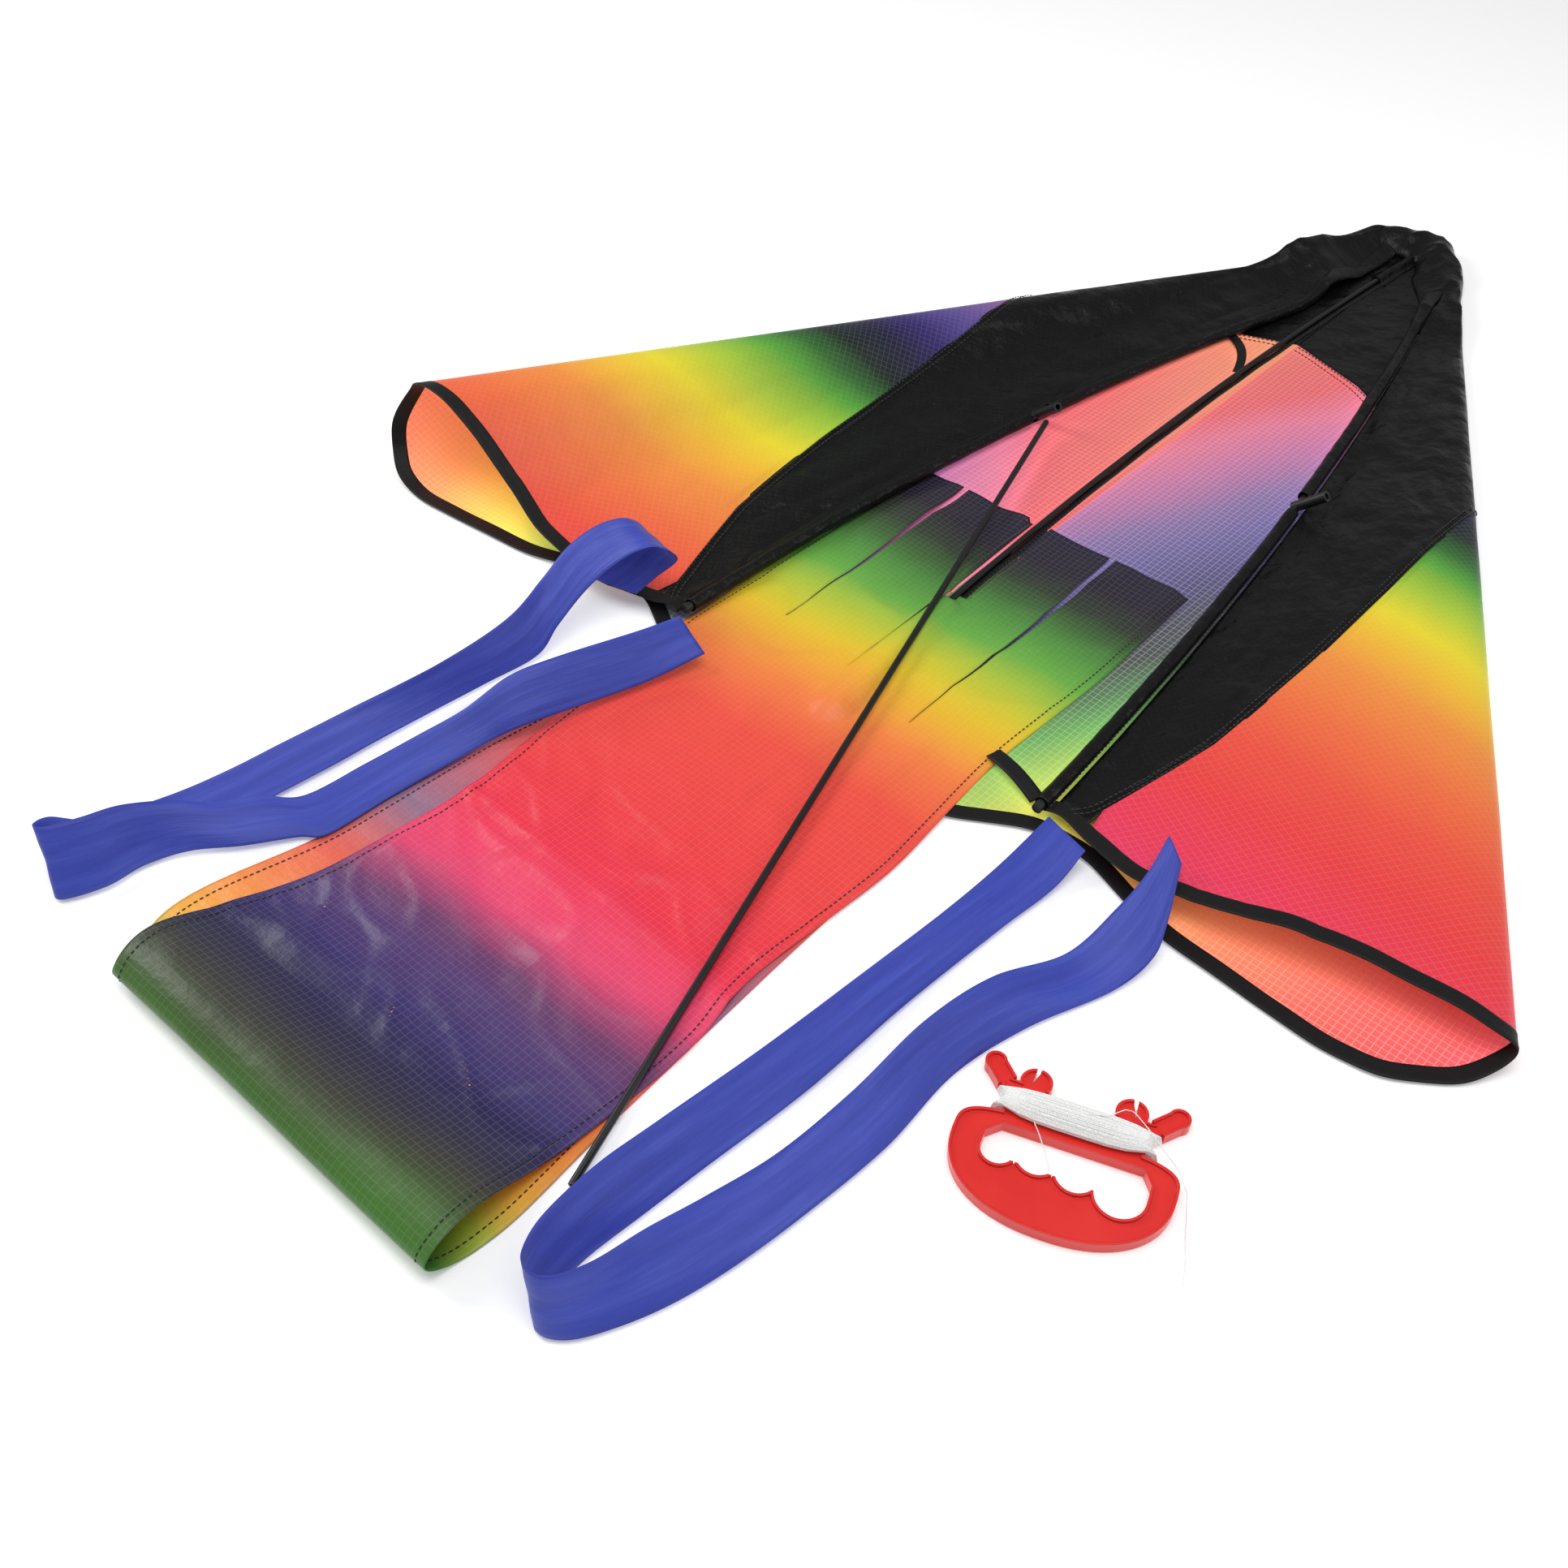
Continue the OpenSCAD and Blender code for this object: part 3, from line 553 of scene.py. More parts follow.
def solid_sheet(name, points, faces, thick, uv, mats):
    """Closed thin body around a surface. points are in millimetres; mats is one material for all of it,
    or front, back and rim. The front is the side the faces' normals point to."""
    p = np.asarray(points, float).reshape(-1, 3)
    uv = np.asarray(uv, float).reshape(-1, 2)
    f = np.array(faces)
    used = np.unique(f)
    index = -np.ones(len(p), int)
    index[used] = np.arange(len(used))
    p, uv, f = p[used], uv[used], index[f]
    fn = np.cross(p[f[:, 2]] - p[f[:, 0]], p[f[:, 3]] - p[f[:, 1]])
    n = np.zeros_like(p)
    for c in range(4):
        np.add.at(n, f[:, c], fn)
    n /= np.maximum(np.linalg.norm(n, axis=1, keepdims=True), 1e-9)
    half = np.asarray(thick, float)
    half = (np.full(len(p), half) if half.ndim == 0 else half.reshape(-1)[used])[:, None] / 2
    top, bottom = p + n * half, p - n * half
    count = len(p)
    edges = {}
    for q in f:
        for c in range(4):
            e = (int(q[c]), int(q[(c + 1) % 4]))
            if e[0] != e[1]:
                key = (min(e), max(e))
                edges[key] = None if key in edges else e
    rim = [(e[1], e[0], e[0] + count, e[1] + count) for e in edges.values() if e]
    quads = [tuple(q) for q in f] + [tuple(q[::-1] + count) for q in f] + rim
    quads = [tuple(dict.fromkeys(int(v) for v in q)) for q in quads]
    mesh = bpy.data.meshes.new(name)
    mesh.from_pydata(row(np.vstack([top, bottom])).tolist(), [], [q for q in quads if len(q) > 2])
    slots = [0] * len(f) + [1] * len(f) + [2] * len(rim)
    slots = [m for m, q in zip(slots, quads) if len(q) > 2]
    for m in mats if isinstance(mats, tuple) else (mats,) * 3:
        mesh.materials.append(m)
    mesh.polygons.foreach_set("material_index", slots)
    mesh.polygons.foreach_set("use_smooth", [True] * len(mesh.polygons))
    layer = mesh.uv_layers.new(name="cloth")
    loops = np.zeros(len(mesh.loops), int)
    mesh.loops.foreach_get("vertex_index", loops)
    layer.data.foreach_set("uv", (np.vstack([uv, uv])[loops] * MM).ravel())
    mesh.validate()
    return placed(name, mesh)


# rings of one stitch: share of its length, share of its radius, rise in radii
STITCH_RINGS = ((0.0, 0.35, -0.2), (0.25, 1.0, 0.25), (0.75, 1.0, 0.25), (1.0, 0.35, -0.2))


def stitches(name, line, up, length=3.0, space=1.3, radius=0.5):
    """A row of separate stitches along a line of points, lying on the surface whose normals are up."""
    line, up = np.asarray(line, float), np.asarray(up, float)
    d = distances(line)

    def at(s):
        p = np.array([np.interp(s, d, line[:, i]) for i in range(3)])
        n = np.array([np.interp(s, d, up[:, i]) for i in range(3)])
        return p, n / np.linalg.norm(n)

    verts, faces = [], []
    s = space
    while s + length < d[-1]:
        a, na = at(s)
        b, nb = at(s + length)
        axis = (b - a) / np.linalg.norm(b - a)
        n = (na + nb) / np.linalg.norm(na + nb)
        side = np.cross(axis, n)
        base = len(verts)
        for share, grow, rise in STITCH_RINGS:
            c = a + (b - a) * share + n * rise * radius
            for k in range(6):
                g = k * math.pi / 3
                verts.append(c + radius * grow * (math.cos(g) * side + math.sin(g) * n))
        for r in range(3):
            for k in range(6):
                q = base + r * 6
                faces.append((q + k, q + (k + 1) % 6, q + 6 + (k + 1) % 6, q + 6 + k))
        faces.append(tuple(base + k for k in range(5, -1, -1)))
        faces.append(tuple(base + 18 + k for k in range(6)))
        s += length + space
    mesh = bpy.data.meshes.new(name)
    mesh.from_pydata(row(verts).tolist(), [], faces)
    mesh.polygons.foreach_set("use_smooth", [True] * len(mesh.polygons))
    mesh.materials.append(MAT["black_thread"])
    return placed(name, mesh)


def sewn_on(body, name, line, up):
    """A row of stitches that rides on one body."""
    o = stitches(name, line, up)
    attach(o, body)


def stands_for(o, body, slot, *nodes):
    """The piece rides on one body and replaces these nodes."""
    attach(o, body)
    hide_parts(*nodes)


def bend_with_wing(o, side, shares):
    """The cloth follows the body below the fold and the wing beyond it, rolling open in between."""
    wing = side + "_wing"
    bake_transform(o, "kite_body", wing, start=(0, 0, 0), end=(0, 0, 1))
    w = o.data.attributes["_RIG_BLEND"]
    w.data.foreach_set("value", np.asarray(shares, np.float32))


def roll_share(side, u):
    s = SIDES[side]
    return smoothstep((u - s["split"]) / (s["roll"] - s["split"]))


# ---- wound flying line (built first)
LINE_D = 0.6
# place and turn of the winder, its waist from and to, the waist's half length, and the web's middle
# height and half thickness
WINDER = dict(place=np.array([346.0, -1098.0, 0.0]), turn=math.radians(20), waist=(15.0, 27.6),
              half=41.6, mid=4.0, web=2.0)


def winder_row(points):
    c, s = math.cos(WINDER["turn"]), math.sin(WINDER["turn"])
    p = np.asarray(points, float)
    return np.stack([c * p[:, 0] - s * p[:, 1], s * p[:, 0] + c * p[:, 1], p[:, 2]], -1) + WINDER["place"]


def line_route():
    """The whole flying line: the short start, the turns on the waist and the loose end."""
    start = [[-6, -12, 2.0], [-8, -8, 3.0], [-12, -2, 5.5], [-17, 4.4, 8.8], [-19, 7, 9.2],
             [-21, 9.4, 9.8], [-23, 13.4, 9.8]]
    loose = [[16, 27, 14.0], [24, 37, 11.0], [28, 39, 8.8], [31, 34, 13.6], [39, 27, 14.2], [47, 20, 13.4],
             [55, 14, 11.5], [62, 8, 10.5], [68, -2, 7.5], [71, -13, 2], [73, -24, 0.9], [76, -38, 0.8],
             [78, -52, 0.8]]
    rng = random.Random(4)
    route = list(start)
    layers, per_layer = 6, 32
    lo, hi = WINDER["waist"]
    for k in range(layers * per_layer):
        layer, step = divmod(k, per_layer)
        across = (step + 0.5) / per_layer
        across = across if layer % 2 == 0 else 1 - across
        y_end = lo + (hi - lo) * across + rng.uniform(-0.12, 0.12)
        y_mid = 10.6 + 20.0 * across + rng.uniform(-0.15, 0.15)
        crown = 1 - (2 * across - 1) ** 2
        rise = 2.4 + layer * (0.42 + 0.5 * crown) + rng.uniform(0, 0.12)
        reach = WINDER["half"] + 0.5 + layer * 0.35 + 4.5 * (1 - crown) + rng.uniform(-0.3, 0.3)
        z_top = WINDER["mid"] + WINDER["web"] + rise
        z_low = max(WINDER["mid"] - WINDER["web"] - 0.45 - layer * 0.42, 0.45)
        turn = 5.5
        flat = reach - turn
        upper = [(x, z_top + 0.5 * (1 - (x / reach) ** 2)) for x in np.linspace(-flat, flat, 9)]
        lower = [(x, z_low) for x in np.linspace(flat, -flat, 5)]
        shoulder = reach - turn * 0.25
        right = [(shoulder, z_top - 1.2), (reach, WINDER["mid"]), (shoulder, z_low + 1.0)]
        left = [(-x, z) for x, z in reversed(right)]
        for x, z in upper + right + lower + left:
            spread = (1 - min(1.0, abs(x) / (reach - turn)) ** 4) if z > WINDER["mid"] else 0.0
            route.append([x, y_end + (y_mid - y_end) * spread, z])
    return np.array(route + loose, float)


def flying_line():
    route = winder_row(line_route())
    curve = bpy.data.curves.new("flying_line", "CURVE")
    curve.dimensions = "3D"
    sp = curve.splines.new("POLY")
    pts = row(route)
    sp.points.add(len(pts) - 1)
    sp.points.foreach_set("co", np.hstack([pts, np.ones((len(pts), 1))]).ravel())
    curve.bevel_depth = LINE_D / 2 * MM
    curve.bevel_resolution = 1
    curve.materials.append(MAT["white_line"])
    o = placed("flying_line", curve)
    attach(o, "winder")
    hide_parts("line_winding", "line_tail", "line_start")


flying_line()

# ---- sail


def crossing(ox, oy, dx, dy, curve):
    """Distance along each ray from (ox, oy) at which it meets the curve."""
    d = np.arange(0.0, 1250.0, 1.0)
    x, y = ox + np.outer(d, dx), oy + np.outer(d, dy)
    below = y <= np.interp(x, curve[:, 0], curve[:, 1])
    first = np.argmax(below, axis=0)
    first = np.maximum(first, 1)
    idx = np.arange(len(dx))
    g0 = y[first - 1, idx] - np.interp(x[first - 1, idx], curve[:, 0], curve[:, 1])
    g1 = y[first, idx] - np.interp(x[first, idx], curve[:, 0], curve[:, 1])
    return d[first - 1] + g0 / np.maximum(g0 - g1, 1e-6)


def fan(count=150):
    """Rays that spread from the blunt nose over half the opened sail, spine first."""
    v = np.linspace(0, 1, count)
    ox, oy = 47.0 * v, 15.0 - 34.0 * v
    th = math.radians(48.4) * v ** 0.92
    dx, dy = np.sin(th), -np.cos(th)
    return v, ox, oy, dx, dy, crossing(ox, oy, dx, dy, SEAM), crossing(ox, oy, dx, dy, EDGE)


def meet_sleeve(side, p, px, py):
    """Draws the cloth's last stretch onto the flank of the spar sleeve."""
    s = SIDES[side]
    le = (718 - 52) * (py + 14) - (-602 + 14) * (px - 52)
    inward = -le / math.hypot(718 - 52, 588)
    t, u = cloth_tu(side, px, py)
    near = smoothstep(1 - np.abs(inward - 6.0) / 34.0) * smoothstep((t - 60) / 60) * (u > 60)
    axis = spar_axis(side, p[..., 1])
    target_x = axis[..., 0] + s["sign"] * (4.4 + np.maximum(inward - 6.0, 0))
    out = p.copy()
    out[..., 0] += (target_x - p[..., 0]) * near
    out[..., 2] += (axis[..., 2] - 1.6 - p[..., 2]) * near * np.clip(1 - np.abs(inward - 6) / 18, 0, 1)
    return out


def laid(side, px, py, lift):
    """Cloth of the folded half sail, drawn onto its sleeve and kept above the floor."""
    p = meet_sleeve(side, folded(side, px, py, lift), px, py)
    p[..., 2] = np.maximum(p[..., 2], SAIL_LOW)
    return p


def nose_lip(p, front, upper):
    """Crumples the nose: the cloth bulges out and stands up round the end of the spine rod."""
    dx, dy = p[..., 0] - 8.0, p[..., 1] + 62.0
    r = np.maximum(np.hypot(dx, dy), 1.0)
    high = smoothstep((r - 30) / 45) * smoothstep((p[..., 1] + 165) / 80)
    w = upper * high + (1 - upper) * smoothstep((front - 6) / 14)
    out_left = smoothstep((30 - p[..., 0]) / 40)
    q = p.copy()
    bulge = (11 + 1.5 * ruffle(p[..., 0], p[..., 1], 93, 90)) * w * out_left
    q[..., 0] += dx / r * bulge
    q[..., 1] += dy / r * bulge
    q[..., 2] += w * (9 + 9 * out_left + 2.2 * creased(p[..., 0], p[..., 1], 91, 80))
    return q


# outer edge, inner edge and crest height of the gathered cloth round the nose
NOSE_GATHER = [((-80, -84), (-58, -92), 4), ((-70, -40), (-44, -54), 12), ((-52, 2), (-26, -20), 17),
               ((-16, 23), (-6, -14), 18), ((16, 28), (8, -18), 19), ((38, 10), (15, -30), 18),
               ((58, -14), (22, -50), 16), ((73, -46), (42, -78), 13), ((88, -88), (66, -112), 9),
               ((102, -134), (90, -146), 3)]


def nose_gather():
    """The leading edge is gathered and turned under round the end of the spine: one crumpled roll."""
    knots = np.array([(*a, *b, h) for a, b, h in NOSE_GATHER], float)
    line = catmull(knots, 14)
    q = np.linspace(0, 1, 26)
    a, b, h = line[:, None, 0:2], line[:, None, 2:4], line[:, None, 4]
    xy = a + (b - a) * q[None, :, None]
    x, y = xy[..., 0], xy[..., 1]
    dome = np.sin(math.pi * q[None] ** 0.72) ** 0.75
    across = creased(x, y, 95, 46) * 2.2 + ruffle(x, y, 97, 30) * 0.9
    z = 1.9 + (h + across * np.minimum(h / 12, 1)) * dome
    out = (a - b) / np.linalg.norm(a - b, axis=-1, keepdims=True)
    belly = (0.16 * h * np.sin(math.pi * np.minimum(q[None] * 2.4, 1)))[..., None]
    p = np.concatenate([xy + out * belly, np.maximum(z, SAIL_LOW)[..., None]], -1)
    faces = grid_faces(*x.shape)
    n = np.cross(p[1, 0] - p[0, 0], p[0, 1] - p[0, 0])
    if n[2] < 0:
        faces = [f[::-1] for f in faces]
    o = solid_sheet("nose_gather", p, faces, 0.4, np.stack([x, y], -1), MAT["black"])
    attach(o, "kite_body")


def wrinkle(side, px, py, kind):
    """Height of the cloth's ruffles along its normal."""
    seed = 3 if side == "left" else 11
    t, u = cloth_tu(side, px, py)
    upper = smoothstep((u - 30) / 80)
    th = math.atan2(-1, 0.55)
    big = ruffle(px, py, seed, 150, stretch=2.6, angle=th)
    small = creased(px, py, seed + 1, 62, stretch=3.6, angle=th + 0.2)
    if kind == "black":
        near_nose = np.exp(-(t / 160.0) ** 2)
        amp = 1.3 + 2.0 * near_nose
        h = upper * (big * 2.2 + small * amp)
        return h + (1 - upper) * (0.15 + 0.3 * np.maximum(small, -0.4) + 1.2 * near_nose * np.abs(big))
    h = upper * (big * 2.2 + small * 0.5)
    return h + (1 - upper) * (0.2 + 0.2 * big.clip(-1, 1))


def half_sail(side):
    s = SIDES[side]
    v, ox, oy, dx, dy, d_seam, d_edge = fan()
    d_edge = d_edge - BIND * 0.45
    out = {}
    for kind, a, b, n in (("nose", 0 * d_seam, d_seam, 90), ("rainbow", d_seam - 4, d_edge, 96)):
        cols = np.arange(len(v))
        if kind == "rainbow":
            cols = cols[(d_edge - d_seam) > 7]
        else:
            b = np.where(d_edge - d_seam > 7, b, d_edge)
        share = np.linspace(0, 1, n)[:, None]
        d = a[cols] + (b - a)[cols] * share
        px, py = ox[cols] + d * dx[cols], oy[cols] + d * dy[cols]
        lift = wrinkle(side, px, py, "black" if kind == "nose" else "rainbow")
        if kind == "nose":
            lift = lift + 0.55 * smoothstep((d - d_seam[cols] + 12) / 8)
            lift = lift * (0.15 + 0.85 * smoothstep(d / 60))
        else:
            lift = lift * smoothstep((d - d_seam[cols]) / 30 + 0.2)
        # pulled flat at the seam so that both panels meet
        seam_pull = np.clip(np.abs(d - d_seam[cols]) / 18, 0.35, 1)
        p = folded(side, px, py, lift * seam_pull)
        p = meet_sleeve(side, p, px, py)
        if kind == "nose":
            upper = smoothstep((cloth_tu(side, px, py)[1] - s["split"]) / 60)
            p = nose_lip(p, p[..., 1], upper)
        p[..., 2] = np.maximum(p[..., 2], SAIL_LOW)
        faces = grid_faces(*px.shape)
        if s["sign"] > 0:
            faces = [q[::-1] for q in faces]
        if kind == "nose":
            mats = MAT["black"]
        else:
            mats = (MAT["back_" + side], MAT["front_" + side], MAT["front_" + side])
        o = solid_sheet(f"{side}_{kind}_cloth", p, faces, 0.36, np.stack([px, py], -1), mats)
        share_u = roll_share(side, cloth_tu(side, px.ravel(), py.ravel())[1])
        bend_with_wing(o, side, np.concatenate([share_u, share_u]))
        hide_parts(f"{side}_{kind}_panel_lower", f"{side}_{kind}_panel_upper")
        area = 0.0
        for q in faces:
            xq, yq = px.ravel()[list(q)], py.ravel()[list(q)]
            area += abs(np.dot(xq, np.roll(yq, 1)) - np.dot(yq, np.roll(xq, 1))) / 2
        out[kind] = (o, flat_box(px, py), area * MM * MM)
    return out


def flat_box(px, py):
    """Width and length in metres of the smallest box round a piece laid flat."""
    best = None
    for deg in range(0, 90, 3):
        c, sn = math.cos(math.radians(deg)), math.sin(math.radians(deg))
        w, l = np.ptp(c * px + sn * py) * MM, np.ptp(c * py - sn * px) * MM
        if best is None or w * l < best[0] * best[1]:
            best = (w, l)
    return round(best[0], 3), round(best[1], 3)


def edge_line(side):
    """Fine polyline of the trailing edge, with the share of the way and cloth coordinates."""
    d = distances(EDGE)
    s = np.linspace(0, d[-1], 300)
    x, y = np.interp(s, d, EDGE[:, 0]), np.interp(s, d, EDGE[:, 1])
    x, y = smooth(x, 3), smooth(y, 3)
    x[0] = 0.0
    return s, x, y


def edge_tape(side):
    """Binding folded over the trailing edge: a flat band, thicker at the fold."""
    s, x, y = edge_line(side)
    tx, ty = np.gradient(x), np.gradient(y)
    n = np.hypot(tx, ty)
    nx, ny = -ty / n, tx / n          # toward the sail
    w = np.array([-1.2, -0.8, 0.5, 3, 6, 9, 10.6, 11.0])
    th = np.array([0.4, 1.2, 1.7, 1.3, 1.2, 1.3, 1.2, 0.5])
    px = x[:, None] + nx[:, None] * w
    py = y[:, None] + ny[:, None] * w
    lift = wrinkle(side, px, py, "rainbow") + 0.18 * np.sin(s / 9.0)[:, None]
    p = laid(side, px, py, lift)
    faces = grid_faces(*px.shape)
    if SIDES[side]["sign"] > 0:
        faces = [q[::-1] for q in faces]
    uv = np.stack([np.broadcast_to(s[:, None], px.shape), np.broadcast_to(w, px.shape)], -1)
    o = solid_sheet(f"{side}_edge_tape", p, faces, np.broadcast_to(th, px.shape), uv, MAT["tape"])
    share = roll_share(side, cloth_tu(side, px.ravel(), py.ravel())[1])
    bend_with_wing(o, side, np.concatenate([share, share]))
    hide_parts(f"{side}_edge_binding_lower", f"{side}_edge_binding_upper")


def cloth_stitches(name, side, px, py, lift):
    """Stitches sewn through the half sail, that bend with it. lift is signed: above or below."""
    cloth = wrinkle(side, px, py, "black") * 0.35
    p = folded(side, px, py, cloth + lift)
    up = folded(side, px, py, cloth + lift * 2) - p
    p = laid(side, px, py, cloth + lift)
    o = stitches(name, p, up)
    verts = np.array([v.co for v in o.data.vertices]) / MM - NOSE
    near = np.array([np.argmin(((v - p) ** 2).sum(-1)) for v in verts])
    bend_with_wing(o, side, roll_share(side, cloth_tu(side, px, py)[1][near]))


def seam_stitches(side):
    """Two rows of topstitching beside the seam of the nose panel."""
    x = np.linspace(2, 700, 400)
    y = np.interp(x, SEAM[:, 0], SEAM[:, 1])
    y = smooth(y, 6)
    _, u = cloth_tu(side, x, y)
    for k, (above, below) in enumerate(((3.0, -2.6), (8.0, -9.5))):
        off = below + (above - below) * smoothstep((u + 10) / 30)
        cloth_stitches(f"{side}_seam_stitch_{k + 1}", side, x, y + off, 1.1)
        cloth_stitches(f"{side}_seam_stitch_back_{k + 1}", side, x, y + off, -1.1)


def sleeve(side):
    """Cloth tube sewn round the spar, gathered a little, open on top at the connector."""
    s = SIDES[side]
    sgn = s["sign"]
    a, b, bow = s["spar"]
    y0, y1 = (a[1], b[1]) if a[1] < b[1] else (b[1], a[1])
    y = np.linspace(y0 - 1.0, -22.0, 420)
    c = spar_axis(side, y)
    join = arc(a, b, bow, s["join"])
    m = 28
    g = np.arange(m) * 2 * math.pi / m
    flat = smoothstep((y + 150) / 60)[:, None]       # the empty top part lies flatter
    rx = 5.1 + 2.2 * flat
    rz = 5.1 - 2.3 * flat
    rip = 0.22 * ruffle(y[:, None], g[None, :] * 9.0, 21 if sgn < 0 else 22, 26)
    rip = rip + flat * 0.8 * ruffle(y[:, None], g[None, :] * 6.0, 25, 40)
    px = c[:, 0:1] + (rx + rip) * np.cos(g)
    pz = np.maximum(c[:, 2:3] + (rz + rip) * np.sin(g), 2.9)
    py = np.broadcast_to(y[:, None], px.shape)
    keep = np.ones((len(y), m), bool)
    gap = np.abs(y - join[1]) < 12.5
    bottom = np.sin(g + math.pi / m) < -0.86
    keep[gap] = bottom
    p = nose_lip(np.stack([px, py, pz], -1), py, np.ones_like(px))
    faces = grid_faces(len(y), m, keep, wrap=True)
    uv = np.stack([np.broadcast_to(g * 5.0, px.shape), py], -1)
    o = solid_sheet(f"{side}_spar_sleeve", p, faces, 0.4, uv, MAT["black"])
    stands_for(o, side + "_wing", "black_nylon", side + "_sleeve")
    # seam stitching along the flank
    yy = y[(y < -150) & (np.abs(y - join[1]) > 14)]
    for k, part in enumerate((yy[yy < join[1]], yy[yy > join[1]])):
        axis = spar_axis(side, part)
        line = axis + np.array([sgn * 5.6, 0, -0.2])
        up = np.tile([sgn * 0.75, 0, 0.65], (len(part), 1))
        sewn_on(side + "_wing", f"{side}_sleeve_stitch_{k + 1}", line, up)


sail = {side: half_sail(side) for side in SIDES}
for side in SIDES:
    edge_tape(side)
    seam_stitches(side)
    sleeve(side)

# ---- centre of the sail
SPINE = ((4.0, -880.0, 5.2), (4.0, 8.0, 5.2), 18.0)


def strip(name, left, right, thick, body, node, across=5):
    """Flat or curved band of tape between two lines of points."""
    left, right = np.asarray(left, float), np.asarray(right, float)
    f = np.linspace(0, 1, across)[None, :, None]
    p = left[:, None, :] * (1 - f) + right[:, None, :] * f
    d = distances((left + right) / 2)
    w = np.linalg.norm(right - left, axis=1)[:, None] * f[..., 0]
    uv = np.stack([w, np.broadcast_to(d[:, None], w.shape)], -1)
    o = solid_sheet(name, p, grid_faces(len(left), across), thick, uv, MAT["tape"])
    stands_for(o, body, "black_nylon", node)


def spine_seam():
    """Rolled seam of the two sail halves, along the right of the spine rod, with its stitches."""
    s = np.linspace(0.02, 0.95, 260)
    c = arc(*SPINE, s)
    prof = np.array([(1.6, 0.15), (2.3, 0.8), (3.0, 1.2), (3.8, 1.2), (4.6, 0.8), (5.4, 0.3), (6.6, 0.15)])
    wob = 0.25 * ruffle(c[:, 1], 0 * c[:, 1], 31, 60)
    p = np.stack([c[:, 0:1] + prof[:, 0] + wob[:, None], np.broadcast_to(c[:, 1:2], (len(s), len(prof))),
                  np.broadcast_to(SAIL_Z + 0.55 + prof[:, 1], (len(s), len(prof)))], -1)
    uv = np.stack([np.broadcast_to(prof[:, 0], p.shape[:2]), p[..., 1]], -1)
    faces = [q[::-1] for q in grid_faces(len(s), len(prof))]
    o = solid_sheet("spine_seam_tape", p, faces, 0.5, uv, MAT["black"])
    stands_for(o, "kite_body", "black_nylon", "spine_seam")
    line = np.stack([c[:, 0] + 5.9 + wob, c[:, 1], np.full(len(s), SAIL_Z + 1.05)], -1)
    sewn_on("kite_body", "spine_seam_stitch", line, np.tile([0, 0, 1.0], (len(s), 1)))


def rod_pocket(name, s0, s1, node, closed_low):
    """Cloth pocket over an end of the spine rod, its edges sewn flat beside the rod."""
    s = np.linspace(s0, s1, 70)
    c = arc(*SPINE, s)
    prof = np.array([(-9.5, -2.4), (-6.2, -2.3), (-4.4, -1.2), (-3.4, 1.6), (-1.8, 3.2), (0, 3.6), (1.8, 3.2),
                     (3.4, 1.6), (4.4, -1.2), (6.2, -2.3), (9.5, -2.4)])
    end = smoothstep(np.minimum(1, np.abs(s - (s0 if closed_low else s1)) * 888 / 14))[:, None]
    ruf = 0.35 * ruffle(c[:, 1:2], prof[:, 0] * 3, 41, 22)
    z = c[:, 2:3] + prof[:, 1] + ruf
    z = (SAIL_Z + 0.9) + (z - SAIL_Z - 0.9) * (0.35 + 0.65 * end)
    z = np.maximum(z, SAIL_Z + 0.75)
    p = np.stack([c[:, 0:1] + prof[:, 0], np.broadcast_to(c[:, 1:2], z.shape), z], -1)
    uv = np.stack([np.broadcast_to(prof[:, 0], z.shape), p[..., 1]], -1)
    o = solid_sheet(name, p, [q[::-1] for q in grid_faces(*z.shape)], 0.45, uv, MAT["black"])
    stands_for(o, "kite_body", "black_nylon", node)


def tie_tape():
    """Narrow tape that ties the sail to the spine near the top of the centre panel."""
    s = np.linspace(0, 1, 40)[:, None]
    a, b = np.array([-71.0, -250.0]), np.array([-17.0, -312.0])
    mid = a + (b - a) * s + np.array([10.0, 3.0]) * np.sin(s * math.pi)
    z = 3.2 + 2.0 * np.sin(s * math.pi) ** 2
    n = np.array([0.75, 0.66]) * 4.2
    strip("spine_tie_tape", np.hstack([mid - n, z]), np.hstack([mid + n, z + 0.6]), 0.9, "kite_body",
          "spine_tie")


def tip_strap():
    """Short strap across the right wing tip, by which the streamer hangs."""
    s = np.linspace(0, 1, 36)[:, None]
    a, b = np.array([171.0, -883.0]), np.array([122.0, -866.5])
    mid = a + (b - a) * s
    z = 6.5 + 3.5 * np.sin(s * math.pi)
    n = np.array([0.32, 0.95]) * 5.6
    strip("right_tip_strap_tape", np.hstack([mid + n, z]), np.hstack([mid - n, z - 1.0]), 1.0,
          "right_wing", "right_tip_strap")


spine_seam()
rod_pocket("nose_pocket_cloth", 0.905, 1.012, "nose_pocket", False)
rod_pocket("spine_pocket_cloth", -0.008, 0.04, "spine_pocket", True)
tie_tape()
tip_strap()

# ---- tail
# slits of the tail's free end: share of its width, inner end, and width of the curled strip beside it
SLITS = ((0.19, -850, 0.1), (0.47, -860, 0.12), (0.735, -880, 0.12))


def tail_outline(y, layer):
    """Left and right edges of the tail at y, for the top flap and the lower layer."""
    if layer == "top":
        yl = [-1386, -1340, -1318, -1245, -1132, -1037, -901, -734, -620]
        xl = [-150, -160, -162, -138, -125, -136, -142, -137, -138]
        yr = [-1386, -1338, -1256, -1180, -1128, -998, -868, -747, -620]
        xr = [140, 134, 137, 140, 128, 138, 127, 133, 129]
    else:
        yl = [-1386, -1342, -1302, -1223, -1088, -930]
        xl = [-150, -188, -186, -164, -155, -130]
        yr = [-1386, -1339, -1253, -1100, -930]
        xr = [140, 148, 141, 134, 130]
    return smooth_interp(y, yl, xl), smooth_interp(y, yr, xr)


